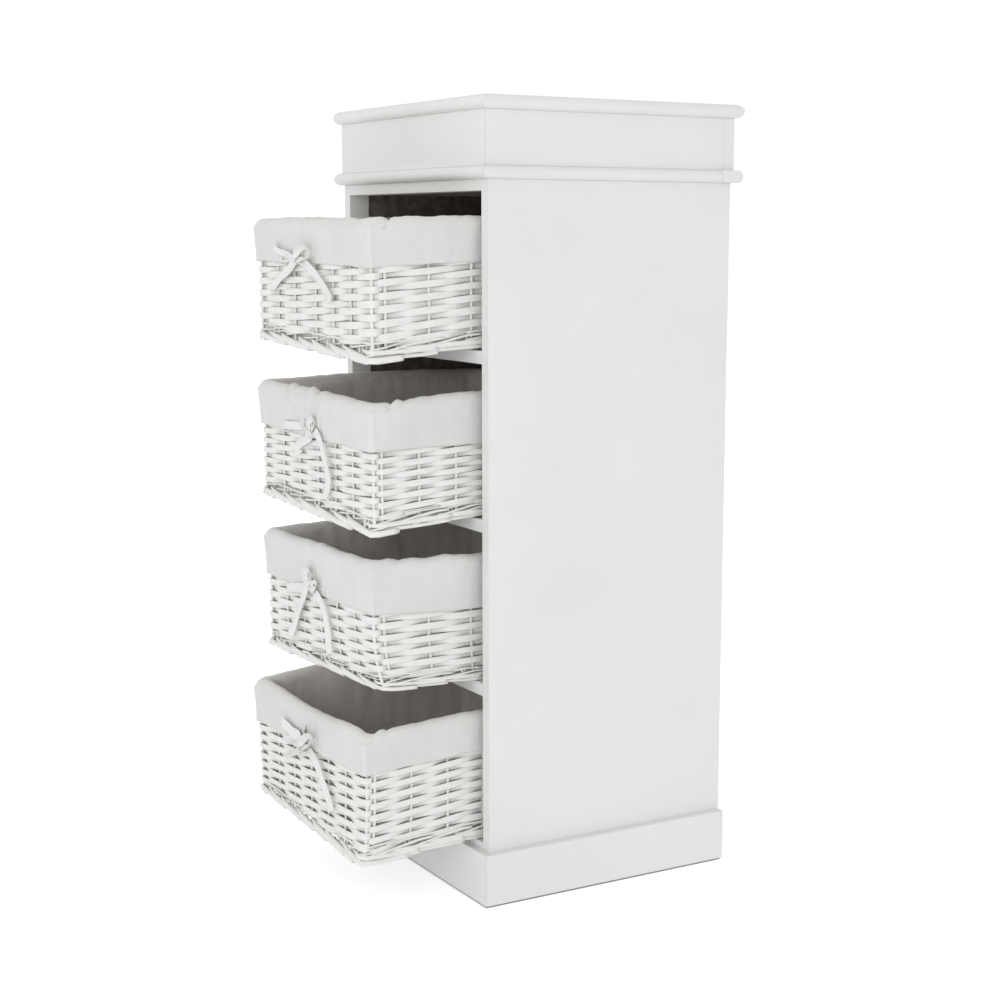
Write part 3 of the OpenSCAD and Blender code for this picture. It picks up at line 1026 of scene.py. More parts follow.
@dataclass(frozen=True)
class ClothSizes:
    """Sizes shared by every lining, in metres.

    Attributes:
        thick: Thickness of the cloth.
        inset: How far the cloth's outer face lies inside the basket's box.
        flare: How far the band leans out at its top.
        fold_r: Corner radius of the band.
        bag_r: Corner radius of the bag.
        bag_inset: How far the bag's walls lie inside the basket's box.
        floor_seat: Height of the bag's floor.
        floor_bend: Radius of the bend between floor and walls.
        arch: Height of the roll over the rim.
        hem: Height of the hem's seam above the band's lower edge.
        over_rim: How far the flat cloth reaches past each wall's top.
        area: Area of the flat cloth without its cut corners, in square metres.
        waves: Heights of its waves and seams.
    """

    thick: float = 0.0012
    inset: float = 0.0012
    flare: float = 0.0030
    fold_r: float = 0.0030
    bag_r: float = 0.010
    bag_inset: float = 0.0152
    floor_seat: float = 0.0128
    floor_bend: float = 0.006
    arch: float = 0.0095
    hem: float = 0.011
    over_rim: float = 0.055
    area: float = 0.34
    waves: ClothWaves = ClothWaves()


@dataclass(frozen=True)
class BasketFinishes:
    """The finishes of a basket.

    Attributes:
        wicker: Finish of the rods.
        cloth: Finish of the lining.
        tape: Finish of the tie.
    """

    wicker: Material
    cloth: Material
    tape: Material


class Basket:
    """The box and lean that every part of one basket shares, taken from its CAD nodes."""

    def __init__(self, look: BasketLook) -> None:
        """Reads the basket's box from the frame.

        Args:
            look: What the photograph shows.
        """
        self.look = look
        low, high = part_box(self.node("lining"))
        self.half_w, self.half_d = (high.x - low.x) / 2, (high.y - low.y) / 2
        self.front_y, self.mid_y = low.y, (low.y + high.y) / 2
        self.base_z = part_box(self.node("base"))[0].z - HAIR
        self.shelf_z = self.base_z - HAIR
        self.height = high.z - self.base_z
        self.edge_z = self.height - look.fall
        weave_low, weave_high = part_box(self.node("weave"))
        self.rows = round((weave_high.z - weave_low.z) / look.pitch)
        self.row_z = weave_low.z - self.base_z

    def node(self, part: str) -> str:
        """Name of one of the basket's CAD nodes."""
        return f"basket_{self.look.index}_{part}"

    def outline(self, inset: float, radius: float) -> Outline:
        """The basket's outline, inset by this much."""
        return Outline(self.mid_y, self.half_w - inset, self.half_d - inset, radius)

    def lean(self, points: Array) -> Array:
        """Moves points of a true box to where the leaning basket has them.

        Args:
            points: Points in the row frame, z above the basket's underside.

        Returns:
            The moved points in the row frame.
        """
        sag, x, y, z = self.look.sag, points[:, 0], points[:, 1], points[:, 2]
        behind = y - self.front_y
        across = ramp(x, -self.half_w, self.half_w)
        forward = 1 - ramp(behind, 0, sag.to_jamb)

        def level(values: Levels) -> Array:
            """Spreads the rises at the four places over all points.

            Args:
                values: Rise at each of the four places.

            Returns:
                Rise of each point.
            """
            near, left, right_jamb, left_jamb = values
            front, back = across * near + (1 - across) * left, across * right_jamb + (1 - across) * left_jamb
            return forward * front + (1 - forward) * back

        down = np.clip(1 - z / self.edge_z, 0, 1.2) ** 2.4
        up = np.clip((z - self.edge_z) / self.look.fall, 0, 1.1)
        rise = down * level(sag.foot) + (1 - down) * (1 - up) * level(sag.edge) + up * level(sag.top)
        stands_out = across * (sag.near_out + down * sag.foot_out) + (1 - across) * sag.left_out
        out = stands_out * np.clip(1 - behind / sag.out_to, 0, 1.1)
        inward = sag.left_in * down * (1 - across) * (1 - ramp(behind, 0, sag.in_to))
        return np.stack([x + inward, y - out, z + rise + self.base_z], 1)

    def piece(
        self, sink: MeshSink, part: str, ending: str, material: Material, slot: Slot, stands: bool = False
    ) -> Piece:
        """Leans the collected points and makes a piece of the basket.

        Args:
            sink: The points, as they are in a true box.
            part: The basket's part, after which the piece is named.
            ending: Last word of the piece's name.
            material: Its finish.
            slot: Its material slot; not used.
            stands: Whether it is kept above the shelf on which the closed basket stands.

        Returns:
            The piece, joined to the basket's body.
        """
        sink.points = [self.lean(p) for p in sink.points]
        if stands:
            for points in sink.points:
                points[:, 2] = np.maximum(points[:, 2], self.shelf_z + 2 * HAIR)
        made = sink.build(f"{self.node(part)}_{ending}", material)
        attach(made, f"basket_{self.look.index}")
        return made


class Wickerwork:
    """The rods of a basket: stakes, weavers, border and foot."""

    def __init__(self, basket: Basket, sizes: RodSizes, wicker: Material) -> None:
        """Lays out the stakes.

        Args:
            basket: The basket's box and lean.
            sizes: Sizes of the rods.
            wicker: Their finish.
        """
        self.basket, self.look, self.sizes, self.wicker = basket, basket.look, sizes, wicker
        self.line = basket.outline(sizes.band_gap, sizes.corner_r)
        self.rng = np.random.default_rng(40 + self.look.index)
        self.stakes = self.stake_lengths()

    def stake_lengths(self) -> Array:
        """Lists where the stakes stand.

        Returns:
            Lengths along the weave's middle line, in order.
        """
        look, line, back = self.look, self.line, self.sizes.back_stakes
        first = look.side_first - self.basket.half_d
        side = np.linspace(first, -first, look.side_stakes)
        stakes = [line.at_corner(c) for c in Corner]
        stakes += [line.on_front(x) for x in look.front_stakes]
        stakes += [line.on_right(y) for y in side] + [line.on_left(y) for y in side]
        stakes += [line.on_back(x) for x in np.linspace(-back, back, len(look.front_stakes))]
        return np.sort(np.array(stakes) % line.total)

    def build(self) -> list[Piece]:
        """Builds the rods, in the order in which the random numbers are drawn."""
        return [self.build_stakes(), self.build_weave(), self.build_border(), *self.build_foot()]

    def grain(self) -> float:
        """Where along the wood's pattern the next rod begins."""
        return self.rng.uniform(0, 50)

    def make(self, sink: MeshSink, part: str, stands: bool = False) -> Piece:
        """Makes a piece of wicker."""
        return self.basket.piece(sink, part, "wicker", self.wicker, Slot.WICKER, stands)

    def build_stakes(self) -> Piece:
        """Builds the upright stakes and corner posts.

        Returns:
            The stakes.
        """
        sink, sizes = MeshSink(), self.sizes
        z = np.linspace(sizes.stake_foot, self.basket.height - sizes.stake_short, 14)
        for point, normal in zip(*self.line.at(self.stakes)):
            wander = self.rng.normal(0, 0.00025, (len(z), 2)).cumsum(0) * 0.5
            wide = sizes.stake_r * (1 + self.rng.uniform(*sizes.stake_uneven))
            deep = sizes.stake_deep if abs(normal[0] * normal[1]) < 0.2 else wide
            half_x, half_y = (deep, wide) if abs(normal[0]) > 0.9 else (wide, deep)
            sink.tube(np.column_stack([point + wander, z]), half_y, half_x, up=(0, 1, 0), shift=self.grain())
        made = self.make(sink, "stakes", stands=True)
        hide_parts(self.basket.node("stakes"))
        return made

    def build_weave(self) -> Piece:
        """Builds the flat rods that climb round the basket in front of and behind the stakes.

        Returns:
            The weave.
        """
        sink = MeshSink()
        turns = math.ceil(self.basket.rows / self.look.strands) + 2
        ring = np.concatenate([self.stakes + turn * self.line.total for turn in range(-1, turns)])
        for strand in range(self.look.strands):
            self.add_weaver(sink, ring, strand)
        made = self.make(sink, "weave")
        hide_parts(self.basket.node("weave"))
        return made

    def swings(self, ring: Array) -> Array:
        """How far off the middle line a weaver passes each stake.

        Args:
            ring: Lengths at which it passes the stakes.

        Returns:
            A distance for each.
        """
        sizes = self.sizes
        corners = np.array([self.line.at_corner(c) for c in Corner])
        at_corner = np.abs((ring[:, None] - corners + 0.01) % self.line.total - 0.01).min(1) < 0.001
        return np.where(at_corner, sizes.stake_r, sizes.stake_deep) + sizes.weaver.half * sizes.weaver.hug

    def add_weaver(self, sink: MeshSink, ring: Array, strand: int) -> None:
        """Adds one rod that climbs round the basket.

        Args:
            sink: Where it goes.
            ring: Lengths at which it passes the stakes, turn after turn.
            strand: Number of the rod.
        """
        line, look, shape = self.line, self.look, self.sizes.weaver
        rows, row_z = self.basket.rows, self.basket.row_z
        step = line.total / look.strands
        first = int(np.searchsorted(ring, (strand - 1) * step))
        first += (first + strand + look.flip + 1) % 2
        last = int(np.searchsorted(ring, (strand + rows - 1) * step)) + 1
        spans = zip(ring[first:last], ring[first + 1:last + 1])
        s = np.concatenate([np.linspace(a, b, 13)[:-1] for a, b in spans])
        k = np.repeat(np.arange(first, last), 12)
        span = ring[k + 1] - ring[k]
        t = (s - ring[k]) / span
        outside = (k + strand + look.flip) % 2 == 0
        sharp = np.where(span > shape.far, shape.far_dive, shape.near_dive)
        dive = np.where(outside, np.sin(np.pi * t / 2), np.cos(np.pi * t / 2)) ** sharp
        cosine = np.cos(np.pi * t)
        swell = np.where(outside, 1.0, -1.0) * np.sign(cosine) * np.abs(cosine) ** shape.swell_turn
        seed = look.index * 100 + strand
        drift = SmoothNoise(seed, line.total, 6, 0.7, 0.12)
        lump = SmoothNoise(seed + 50, line.total, 8, 0.5, 0.05)
        turned = s + 0.37 * np.floor(s / line.total)
        swings = self.swings(ring)
        swing = swings[k] + (swings[k + 1] - swings[k]) * t
        out = (1 - 2 * dive) * swing + shape.drift_out * drift(turned)
        climb = look.pitch * ((s - strand * step) / step + 0.5 + look.phase)
        z = row_z + climb + shape.drift_up * drift(turned + 0.3)
        tall = look.pitch * 0.5 * (shape.tall + shape.swell * swell + shape.lumps * lump(turned))
        tall *= shape.start_tall + (1 - shape.start_tall) * ramp(s, s[0], s[0] + shape.start_len)
        tall *= 1 + shape.low_tall * np.clip(1.2 - (z - row_z) / look.pitch, 0, 1)
        z = np.minimum(z, row_z + (rows - 0.4) * look.pitch)
        point, normal = line.at(s)
        path = np.column_stack([point + normal * out[:, None], z])
        half = shape.half * (1 + shape.thick_lumps * lump(turned + 0.2))
        sink.tube(path, tall, half, 16, square=shape.square, shift=self.grain())

    def build_border(self) -> Piece:
        """Builds the two rods twisted round each other that finish the top under the cloth.

        Returns:
            The border.
        """
        sink, basket, sizes = MeshSink(), self.basket, self.sizes
        s = np.linspace(0, self.line.total, 700, endpoint=False)
        point, normal = self.line.at(s)
        low = basket.row_z + basket.rows * self.look.pitch
        high = basket.height - sizes.border_short
        tall = (high - low) / 4
        for k in range(2):
            angle = 2 * math.pi * sizes.border_turns * s / self.line.total + k * math.pi
            off = normal * (sizes.border_twist * np.cos(angle))[:, None]
            path = np.column_stack([point + off, (low + high) / 2 + tall * np.sin(angle)])
            sink.tube(path, tall * 0.95, sizes.border_half, closed=True, shift=k * 7.0)
        made = self.make(sink, "rim")
        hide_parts(basket.node("rim"))
        return made

    def foot_rod(
        self, sink: MeshSink, s0: float, length: float, high: float, drop: float, out: float, radius: float
    ) -> None:
        """Adds one rod of the foot, whose thin end is tucked in and whose cut end stands out.

        Args:
            sink: Where it goes.
            s0: Length along the outline at which it starts.
            length: Its length.
            high: Height of its start above the basket's underside.
            drop: How much lower it ends.
            out: How far outside the middle line it lies.
            radius: Its radius.
        """
        t = np.linspace(0, 1, 18)
        point, normal = self.line.at(s0 + length * t)
        flare = out + 0.0010 * ramp(t, 0.8, 1) ** 2 - 1.1 * radius * (1 - ramp(t, 0, 0.2))
        bow = self.rng.uniform(-0.0008, 0.0008) * np.sin(math.pi * t)
        z = np.maximum(high - drop * ramp(t, 0, 0.8) ** 0.8 + bow, radius + 0.0002)
        path = np.column_stack([point + normal * flare[:, None], z])
        taper = radius * (0.6 + 0.4 * ramp(t, 0, 0.25))
        sink.tube(path, taper * 1.05, taper, 9, shift=self.grain())

    def twig(
        self, sink: MeshSink, s0: float, length: float, low: float, high: float, out: float,
        stout: float = 1.0,
    ) -> None:
        """Adds a thin crooked twig of the foot.

        Args:
            sink: Where it goes.
            s0: Length along the outline at which it starts.
            length: Its length.
            low: Height of its start.
            high: Height of its end.
            out: How far outside the middle line it lies.
            stout: How many times its usual thickness it is.
        """
        t = np.linspace(0, 1, 12)
        point, normal = self.line.at(s0 + length * t)
        bow = self.rng.uniform(-0.0015, 0.0015) * np.sin(math.pi * t)
        wave = bow + self.rng.normal(0, 0.00015, len(t)).cumsum()
        off = normal * (out + 0.5 * wave)[:, None]
        path = np.column_stack([point + off, low + (high - low) * t + wave])
        radius = stout * self.rng.uniform(0.0007, 0.0013) * (1.1 - 0.6 * t)
        sink.tube(path, radius, radius, 7, shift=self.grain(), up=(0.3, 0.2, 1.0))

    def build_foot(self) -> list[Piece]:
        """Builds the open foot: thick slanting rods, stake ends and thin twigs, in two pieces.

        Returns:
            The part over the shelf and the part at the front, which hangs lower.
        """
        sizes, line, basket = self.sizes, self.line, self.basket
        round_foot, front_foot = MeshSink(), MeshSink()
        near = line.at_corner(Corner.FRONT_RIGHT)
        count = int(line.total / sizes.foot_pitch)
        for k in range(count):
            s0 = k * line.total / count + self.rng.uniform(-0.006, 0.006)
            length = sizes.foot_rod_len * self.rng.uniform(0.85, 1.12)
            centre = line.beyond(s0 + length / 2, near)
            in_front = sizes.front_foot[0] < centre < sizes.front_foot[1]
            self.add_foot_bundle(front_foot if in_front else round_foot, s0, length, centre > 0.0)
        made = [self.make(round_foot, "foot", stands=True), self.make(front_foot, "foot_front")]
        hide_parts(basket.node("foot"))
        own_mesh(made[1])
        return made

    def add_foot_bundle(self, sink: MeshSink, s0: float, length: float, side: bool) -> None:
        """Adds an outer rod of the foot with the rods, twigs and stake ends beside it.

        Args:
            sink: Where they go.
            s0: Length along the outline at which it starts.
            length: Its length.
            side: Whether it lies past the near corner, where the rods are thinner and flatter.
        """
        sizes, rng = self.sizes, self.rng
        top, face = sizes.foot_h, sizes.stake_r
        radius = sizes.foot_rod_r * rng.uniform(0.9, 1.12) * (0.82 if side else 1.0)
        drop = sizes.foot_drop * (rng.uniform(0.35, 0.6) if side else rng.uniform(0.9, 1.1))
        out = face + radius * 0.7
        self.foot_rod(sink, s0, length, top - radius - sizes.foot_keep, drop, out, radius)
        for rod in sizes.foot_rods:
            place, inside = s0 + rod.later, out - rod.inside
            self.foot_rod(sink, place, length * rod.share, rod.high, rod.drop, inside, radius * rod.stout)
        self.twig(sink, s0, 0.10, top - 0.001, top + rng.uniform(-0.004, 0.001), face + 0.001)
        self.twig(sink, s0 + 0.02, 0.07, 0.013, top, face + 0.0006)
        if side:
            self.foot_rod(sink, s0 + 0.01, 0.10, 0.006, -0.011, out + 0.001, radius * 0.5)
        for _ in range(2):
            place, lean = s0 + rng.uniform(0, 0.05), rng.uniform(-0.005, 0.005)
            self.twig(sink, place, lean, 0.006, top, rng.uniform(-0.0015, 0.0015), 1.6)


class Lining:
    """The cloth bag of a basket, folded over the rim and hanging outside as a band."""

    def __init__(self, basket: Basket, sizes: ClothSizes, cloth: Material) -> None:
        """Lays out the band and the cloth's seeded waves.

        Args:
            basket: The basket's box and lean.
            sizes: Sizes of the cloth.
            cloth: Its finish.
        """
        self.basket, self.look, self.sizes, self.cloth = basket, basket.look, sizes, cloth
        self.around = basket.outline(sizes.thick / 2 + sizes.inset, sizes.fold_r)
        self.wide = SmoothNoise(self.look.index * 10 + 1, self.around.total, 7, 0.30, 0.07)
        self.fine = SmoothNoise(self.look.index * 10 + 2, self.around.total, 10, 0.05, 0.014)

    def rings(self) -> list[tuple[float, float, float, float, Zone]]:
        """Lists the cloth's rings from the middle of its floor, up inside, over the rim and down.

        Returns:
            Half width, half depth, corner radius, height and zone of each ring.
        """
        basket, sizes = self.basket, self.sizes
        half_t, arch, bend = sizes.thick / 2, sizes.arch, sizes.floor_bend
        in_x, in_y = basket.half_w - sizes.bag_inset, basket.half_d - sizes.bag_inset
        out_x, out_y = basket.half_w - half_t - sizes.inset, basket.half_d - half_t - sizes.inset
        roll = (out_x + sizes.flare - in_x) / 2
        floor, top = sizes.floor_seat + half_t, basket.height - half_t
        rings: list[tuple[float, float, float, float, Zone]] = []
        for f in (0.02, 0.2, 0.4, 0.6, 0.75, 0.88, 0.95):
            rings.append((in_x * f, in_y * f, sizes.bag_r * f, floor, Zone.FLOOR))
        for a in np.linspace(0, math.pi / 2, 5):
            shift = bend - bend * math.sin(a)
            z = floor + bend - bend * math.cos(a)
            rings.append((in_x - shift, in_y - shift, sizes.bag_r, z, Zone.FLOOR))
        for z in np.linspace(floor + 2 * bend, top - arch, 14):
            rings.append((in_x, in_y, sizes.bag_r, z, Zone.WALL))
        for a in np.linspace(0, math.pi, 13)[1:-1]:
            over = roll - roll * math.cos(a)
            rings.append((in_x + over, in_y + over, sizes.bag_r, top - arch + arch * math.sin(a), Zone.ROLL))
        for share in np.linspace(0, 1, 20):
            z = top - arch + share * (half_t + arch - self.look.fall + basket.height - top)
            flare = sizes.flare * (1 - share) ** 1.5
            rings.append((out_x + flare, out_y + flare, sizes.fold_r, z, Zone.BAND))
        return rings

    def surface(self) -> tuple[Array, Array, Array]:
        """Lays the cloth's middle surface, with more places round its corners.

        Returns:
            Points (rings by places by 3), the length along the profile, and the length round it.
        """
        around = self.around
        counts = (90, 16, 110, 10, 90, 10, 110, 16, 90)
        stretches = zip(around.starts[:-1], around.starts[1:], counts)
        s = np.concatenate([np.linspace(a, b, n, endpoint=False) for a, b, n in stretches])
        part = around.part_at(s)
        share = (s - around.starts[part]) / around.lengths[part]
        points = []
        for half_x, half_y, radius, z, zone in self.rings():
            ring = Outline(self.basket.mid_y, half_x, half_y, min(radius, half_x, half_y))
            point, normal = ring.at(ring.starts[part] + share * ring.lengths[part])
            z_all = np.full(len(s), z)
            push, rise = self.wrinkle(s, z_all, zone)
            points.append(np.column_stack([point + normal * push[:, None], z_all + rise]))
        grid = np.array(points)
        return grid, lengths_along(grid[:, 0]), s

    def wrinkle(self, s: Array, z: Array, zone: Zone) -> tuple[Array, Array]:
        """How far the cloth bulges out and rises at places round the basket.

        Args:
            s: Lengths round the basket.
            z: Heights above its underside.
            zone: The part of the cloth.

        Returns:
            Outward push and rise at each place.
        """
        look, around, wide, fine, wave = self.look, self.around, self.wide, self.fine, self.sizes.waves
        high_z = self.basket.height
        low_z = high_z - look.fall
        share = np.clip((high_z - z) / look.fall, 0, 1)
        knot = around.beyond(s, around.on_front(look.knot_x))
        push, rise = np.zeros_like(s), np.zeros_like(s)
        if zone is not Zone.FLOOR:
            over = ramp(z, high_z * 0.6, high_z) if zone is Zone.WALL else (1 - share) ** 1.5
            rise += (wave.top_wide * wide(s) + wave.top_fine * fine(s)) * over * ramp(z, low_z, high_z)
            near = around.at_corner(Corner.FRONT_RIGHT)
            for past, depth, half in look.dips:
                rise -= depth * hump(around.beyond(s, near + past), half) * over
        if zone in (Zone.ROLL, Zone.BAND):
            for place, half, high in look.folds:
                leans = place * (1 - 0.8 * share**1.3)
                ridge = high * hump(knot - leans, half) * (1 - 0.35 * share)
                push += ridge if zone is Zone.BAND else 0.5 * ridge
                rise += 0.9 * ridge * (1 - share) ** 4
        if zone is Zone.WALL:
            push -= wave.wall_in + wave.wall_wide * wide(s, z * 2) + wave.wall_fine * fine(s, z)
        if zone is Zone.BAND:
            bulge = wave.band_wide * wide(s, z * 1.5) * share + wave.band_fine * fine(s, z)
            push += np.maximum(bulge, -wave.band_in)
            push += wave.band_out * share
            pleat = 0.6 + np.sin(knot * 2 * math.pi / wave.pleat_pitch)
            push += hump(knot, wave.pleat_reach) * share**1.3 * look.pleats * pleat
            push -= wave.hem * hump(z - low_z - self.sizes.hem, wave.hem_half)
            for corner in Corner:
                off = s - around.at_corner(corner)
                push += wave.corner_swell * hump(off, wave.corner_reach)
                push -= wave.corner_seam * hump(off, wave.corner_half)
            rise += (wave.edge_wide * wide(s + 0.4) + wave.edge_fine * fine(s + 0.1)) * share
        return push, rise

    def build(self) -> Piece:
        """Builds the cloth as one sheet with a thickness.

        Returns:
            The lining.
        """
        grid, profile, s = self.surface()
        rings, places = grid.shape[:2]
        along = np.roll(grid, -1, 1) - np.roll(grid, 1, 1)
        thick = unit(np.cross(along, np.gradient(grid, axis=0))) * (self.sizes.thick / 2)
        sink = MeshSink()
        v = np.append(s, s[-1] + 0.003)
        sink.grid(grid + thick, np.append(profile, profile[-1]), v)
        start = sink.count
        sink.grid((grid - thick)[::-1], profile[::-1], v)
        edge, last = (rings - 1) * places, profile[-1]
        for j in range(places):
            k = (j + 1) % places
            sink.faces.append((edge + j, edge + k, start + k, start + j))
            sink.coords += [(last, v[j]), (last, v[j + 1]), (last, v[j + 1]), (last, v[j])]
        middle = [start + edge + j for j in reversed(range(places))]
        for face in (tuple(range(places)), tuple(middle)):
            sink.faces.append(face)
            sink.coords += [(0.0, v[j]) for j in range(places)]
        basket, over = self.basket, 2 * self.sizes.over_rim
        made = basket.piece(sink, "lining", "cloth", self.cloth, Slot.LINEN)
        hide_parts(basket.node("lining"))
        rests_on = [basket.node("rim") + "_wicker", basket.node("base")]
        return made


@dataclass(frozen=True)
class Wrap:
    """One turn of tape round a knot.

    Attributes:
        angle: Its slope on the front, in radians.
        half: Half its length.
        deep: Half its depth.
    """

    angle: float
    half: float
    deep: float


@dataclass(frozen=True)
class TapeSizes:
    """Sizes of the tape, in metres.

    Attributes:
        flat_wide: Width of the flat tape.
        half_thick: Half its thickness.
        crease: Depth of the crease along its middle.
        face_out: How far the cloth's face stands in front of the basket's box.
        face_gap: How far the knot's turns lie off the cloth's face.
        clear: Least distance of the tape from that face.
        sway: How far a length of tape sways off it.
        wrap_tall: Half width of the turns round the knot.
        wrap_thick: Half thickness of those turns.
        wraps: The turns round the knot.
    """

    flat_wide: float = 0.0101
    half_thick: float = 0.0003
    crease: float = 0.0009
    face_out: float = 0.0012
    face_gap: float = 0.0024
    clear: float = 0.0008
    sway: float = 0.0012
    wrap_tall: float = 0.0030
    wrap_thick: float = 0.0006
    wraps: tuple[Wrap, ...] = (
        Wrap(0.35, 0.0055, 0.0022),
        Wrap(-0.6, 0.0050, 0.0024),
        Wrap(1.45, 0.0064, 0.0032),
    )


class Tie:
    """The tape on a basket's front: a knot of turns, loops, and tails that hang over the rods."""

    def __init__(self, basket: Basket, sizes: TapeSizes, tape: Material) -> None:
        """Finds the knot's place.

        Args:
            basket: The basket's box and lean.
            sizes: Sizes of the tape.
            tape: Its finish.
        """
        self.basket, self.look, self.sizes, self.tape = basket, basket.look, sizes, tape
        self.knot_z = basket.height - self.look.fall + self.look.knot_up
        self.face_y = basket.front_y - sizes.face_out

    def build(self, lining: Piece) -> Piece:
        """Builds the tape.

        Args:
            lining: The cloth that the tape hangs on; not used.

        Returns:
            The tie.
        """
        sink, sizes = MeshSink(), self.sizes
        t = np.linspace(0, 2 * math.pi, 17, endpoint=False)
        for wrap in sizes.wraps:
            c, n = math.cos(wrap.angle), math.sin(wrap.angle)
            reach = wrap.half * np.cos(t)
            y = self.face_y - sizes.face_gap + wrap.deep * np.sin(t)
            path = np.column_stack([self.look.knot_x + reach * c, y, self.knot_z + reach * n])
            sink.tube(
                path, sizes.wrap_tall, sizes.wrap_thick, 8, closed=True, up=(-n, 0, c), square=3.0,
                shift=wrap.angle * 3,
            )
        length = sum(4 * wrap.half for wrap in sizes.wraps)
        length += sum(self.add_tape(sink, tape, number) for number, tape in enumerate(self.look.tapes))
        made = self.basket.piece(sink, "tie", "tape", self.tape, Slot.LINEN)
        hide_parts(self.basket.node("tie"))
        return made

    def add_tape(self, sink: MeshSink, tape: TiePath, number: int) -> float:
        """Adds one length of tape, creased along its middle.

        Args:
            sink: Where it goes.
            tape: Its course.
            number: Its number in the tie.

        Returns:
            Its length.
        """
        knots = np.array([(0.0, 0.0), *tape.points])
        t = lengths_along(knots)
        fine = np.linspace(0, t[-1], 48)
        x, z = (smooth_through(t, knots[:, i], fine) for i in range(2))
        share = fine / t[-1]
        phase = 1.3 * self.look.index + number
        lift = tape.lift + self.sizes.sway * np.sin(share * 8 + phase) * share + self.sizes.clear
        below = ramp(-z, 0.004, 0.014)
        y = self.face_y - lift + self.sizes.clear * below
        path = np.column_stack([self.look.knot_x + x, y, self.knot_z + z])
        tangent = unit(np.gradient(path, axis=0))
        turn = math.radians(tape.turn) * ramp(share, 0, 0.2) + 0.12 * np.sin(share * 6 + phase)
        flat = unit(np.stack([tangent[:, 2] * np.cos(turn), np.sin(turn), -tangent[:, 0] * np.cos(turn)], 1))
        places = np.linspace(-1, 1, 9)
        half = (0.5 + 0.5 * ramp(share, 0, tape.opens)) * tape.wide / 2
        face = unit(np.cross(tangent[:, None, :], flat[:, None, :]))
        mid = path[:, None, :] + flat[:, None, :] * (half[:, None] * places[None, :])[..., None]
        mid = mid - face * (self.sizes.crease * (np.abs(places) - 0.5))[None, :, None]
        thick = face * self.sizes.half_thick
        loop = np.concatenate([mid + thick, (mid - thick)[:, ::-1]], 1)
        v = np.arange(2 * len(places) + 1) / (2 * len(places)) * 0.02
        sink.grid(loop, np.append(fine, fine[-1]) + 3.0 + number, v, caps=True)
        return float(t[-1])


class WickerBasket:
    """A woven basket with its lining and tie, built inside the box of its CAD nodes."""

    def __init__(self, look: BasketLook, finishes: BasketFinishes) -> None:
        """Prepares the basket's parts.

        Args:
            look: What the photograph shows.
            finishes: Its finishes.
        """
        self.basket = Basket(look)
        self.base_finish = finishes.wicker
        self.rods = Wickerwork(self.basket, RodSizes(), finishes.wicker)
        self.lining = Lining(self.basket, ClothSizes(), finishes.cloth)
        self.tie = Tie(self.basket, TapeSizes(), finishes.tape)

    def build(self) -> list[Piece]:
        """Builds and dresses every piece of the basket.

        Returns:
            The new pieces.
        """
        dress(self.basket.node("base"), self.base_finish)
        made = self.rods.build()
        lining = self.lining.build()
        return [*made, lining, self.tie.build(lining)]


def dress(name: str, material: Material) -> None:
    """Gives a carried-over CAD node a finish.

    Args:
        name: The node.
        material: The finish.
    """
    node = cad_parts[name]
    node.data.materials.clear()
    node.data.materials.append(material)


@dataclass(frozen=True)
class CabinetFinishes:
    """The finishes of the cabinet.

    Attributes:
        paint: Paint of the outer boards.
        inside: Paint of boards that are raw inside.
        raw: Back panel.
        plastic: Glides.
        steel: Nails.
    """

    paint: Material
    inside: Material
    raw: Material
    plastic: Material
    steel: Material


@dataclass(frozen=True)
class NailSizes:
    """Sizes and places of the back panel's nails, in metres.

    Attributes:
        profile: How far out of the board and how wide each ring of a head is.
        sides: Points round a head.
        from_ends: Distance of the first and last nail from the panel's ends.
        from_edge: Distance of the nails from the panel's edges.
        rows: Nails down each edge.
        shelf_mid: Height of a shelf's middle above its underside.
        shelf_x: Places across each shelf.
    """

    profile: tuple[Point, ...] = (
        (-0.0006, 0.0021), (0.0003, 0.0021), (0.0007, 0.0015), (0.0009, 0.0004),
    )
    sides: int = 16
    from_ends: float = 0.02
    from_edge: float = 0.004
    rows: int = 8
    shelf_mid: float = 0.0075
    shelf_x: tuple[float, ...] = (-0.09, 0.0, 0.09)


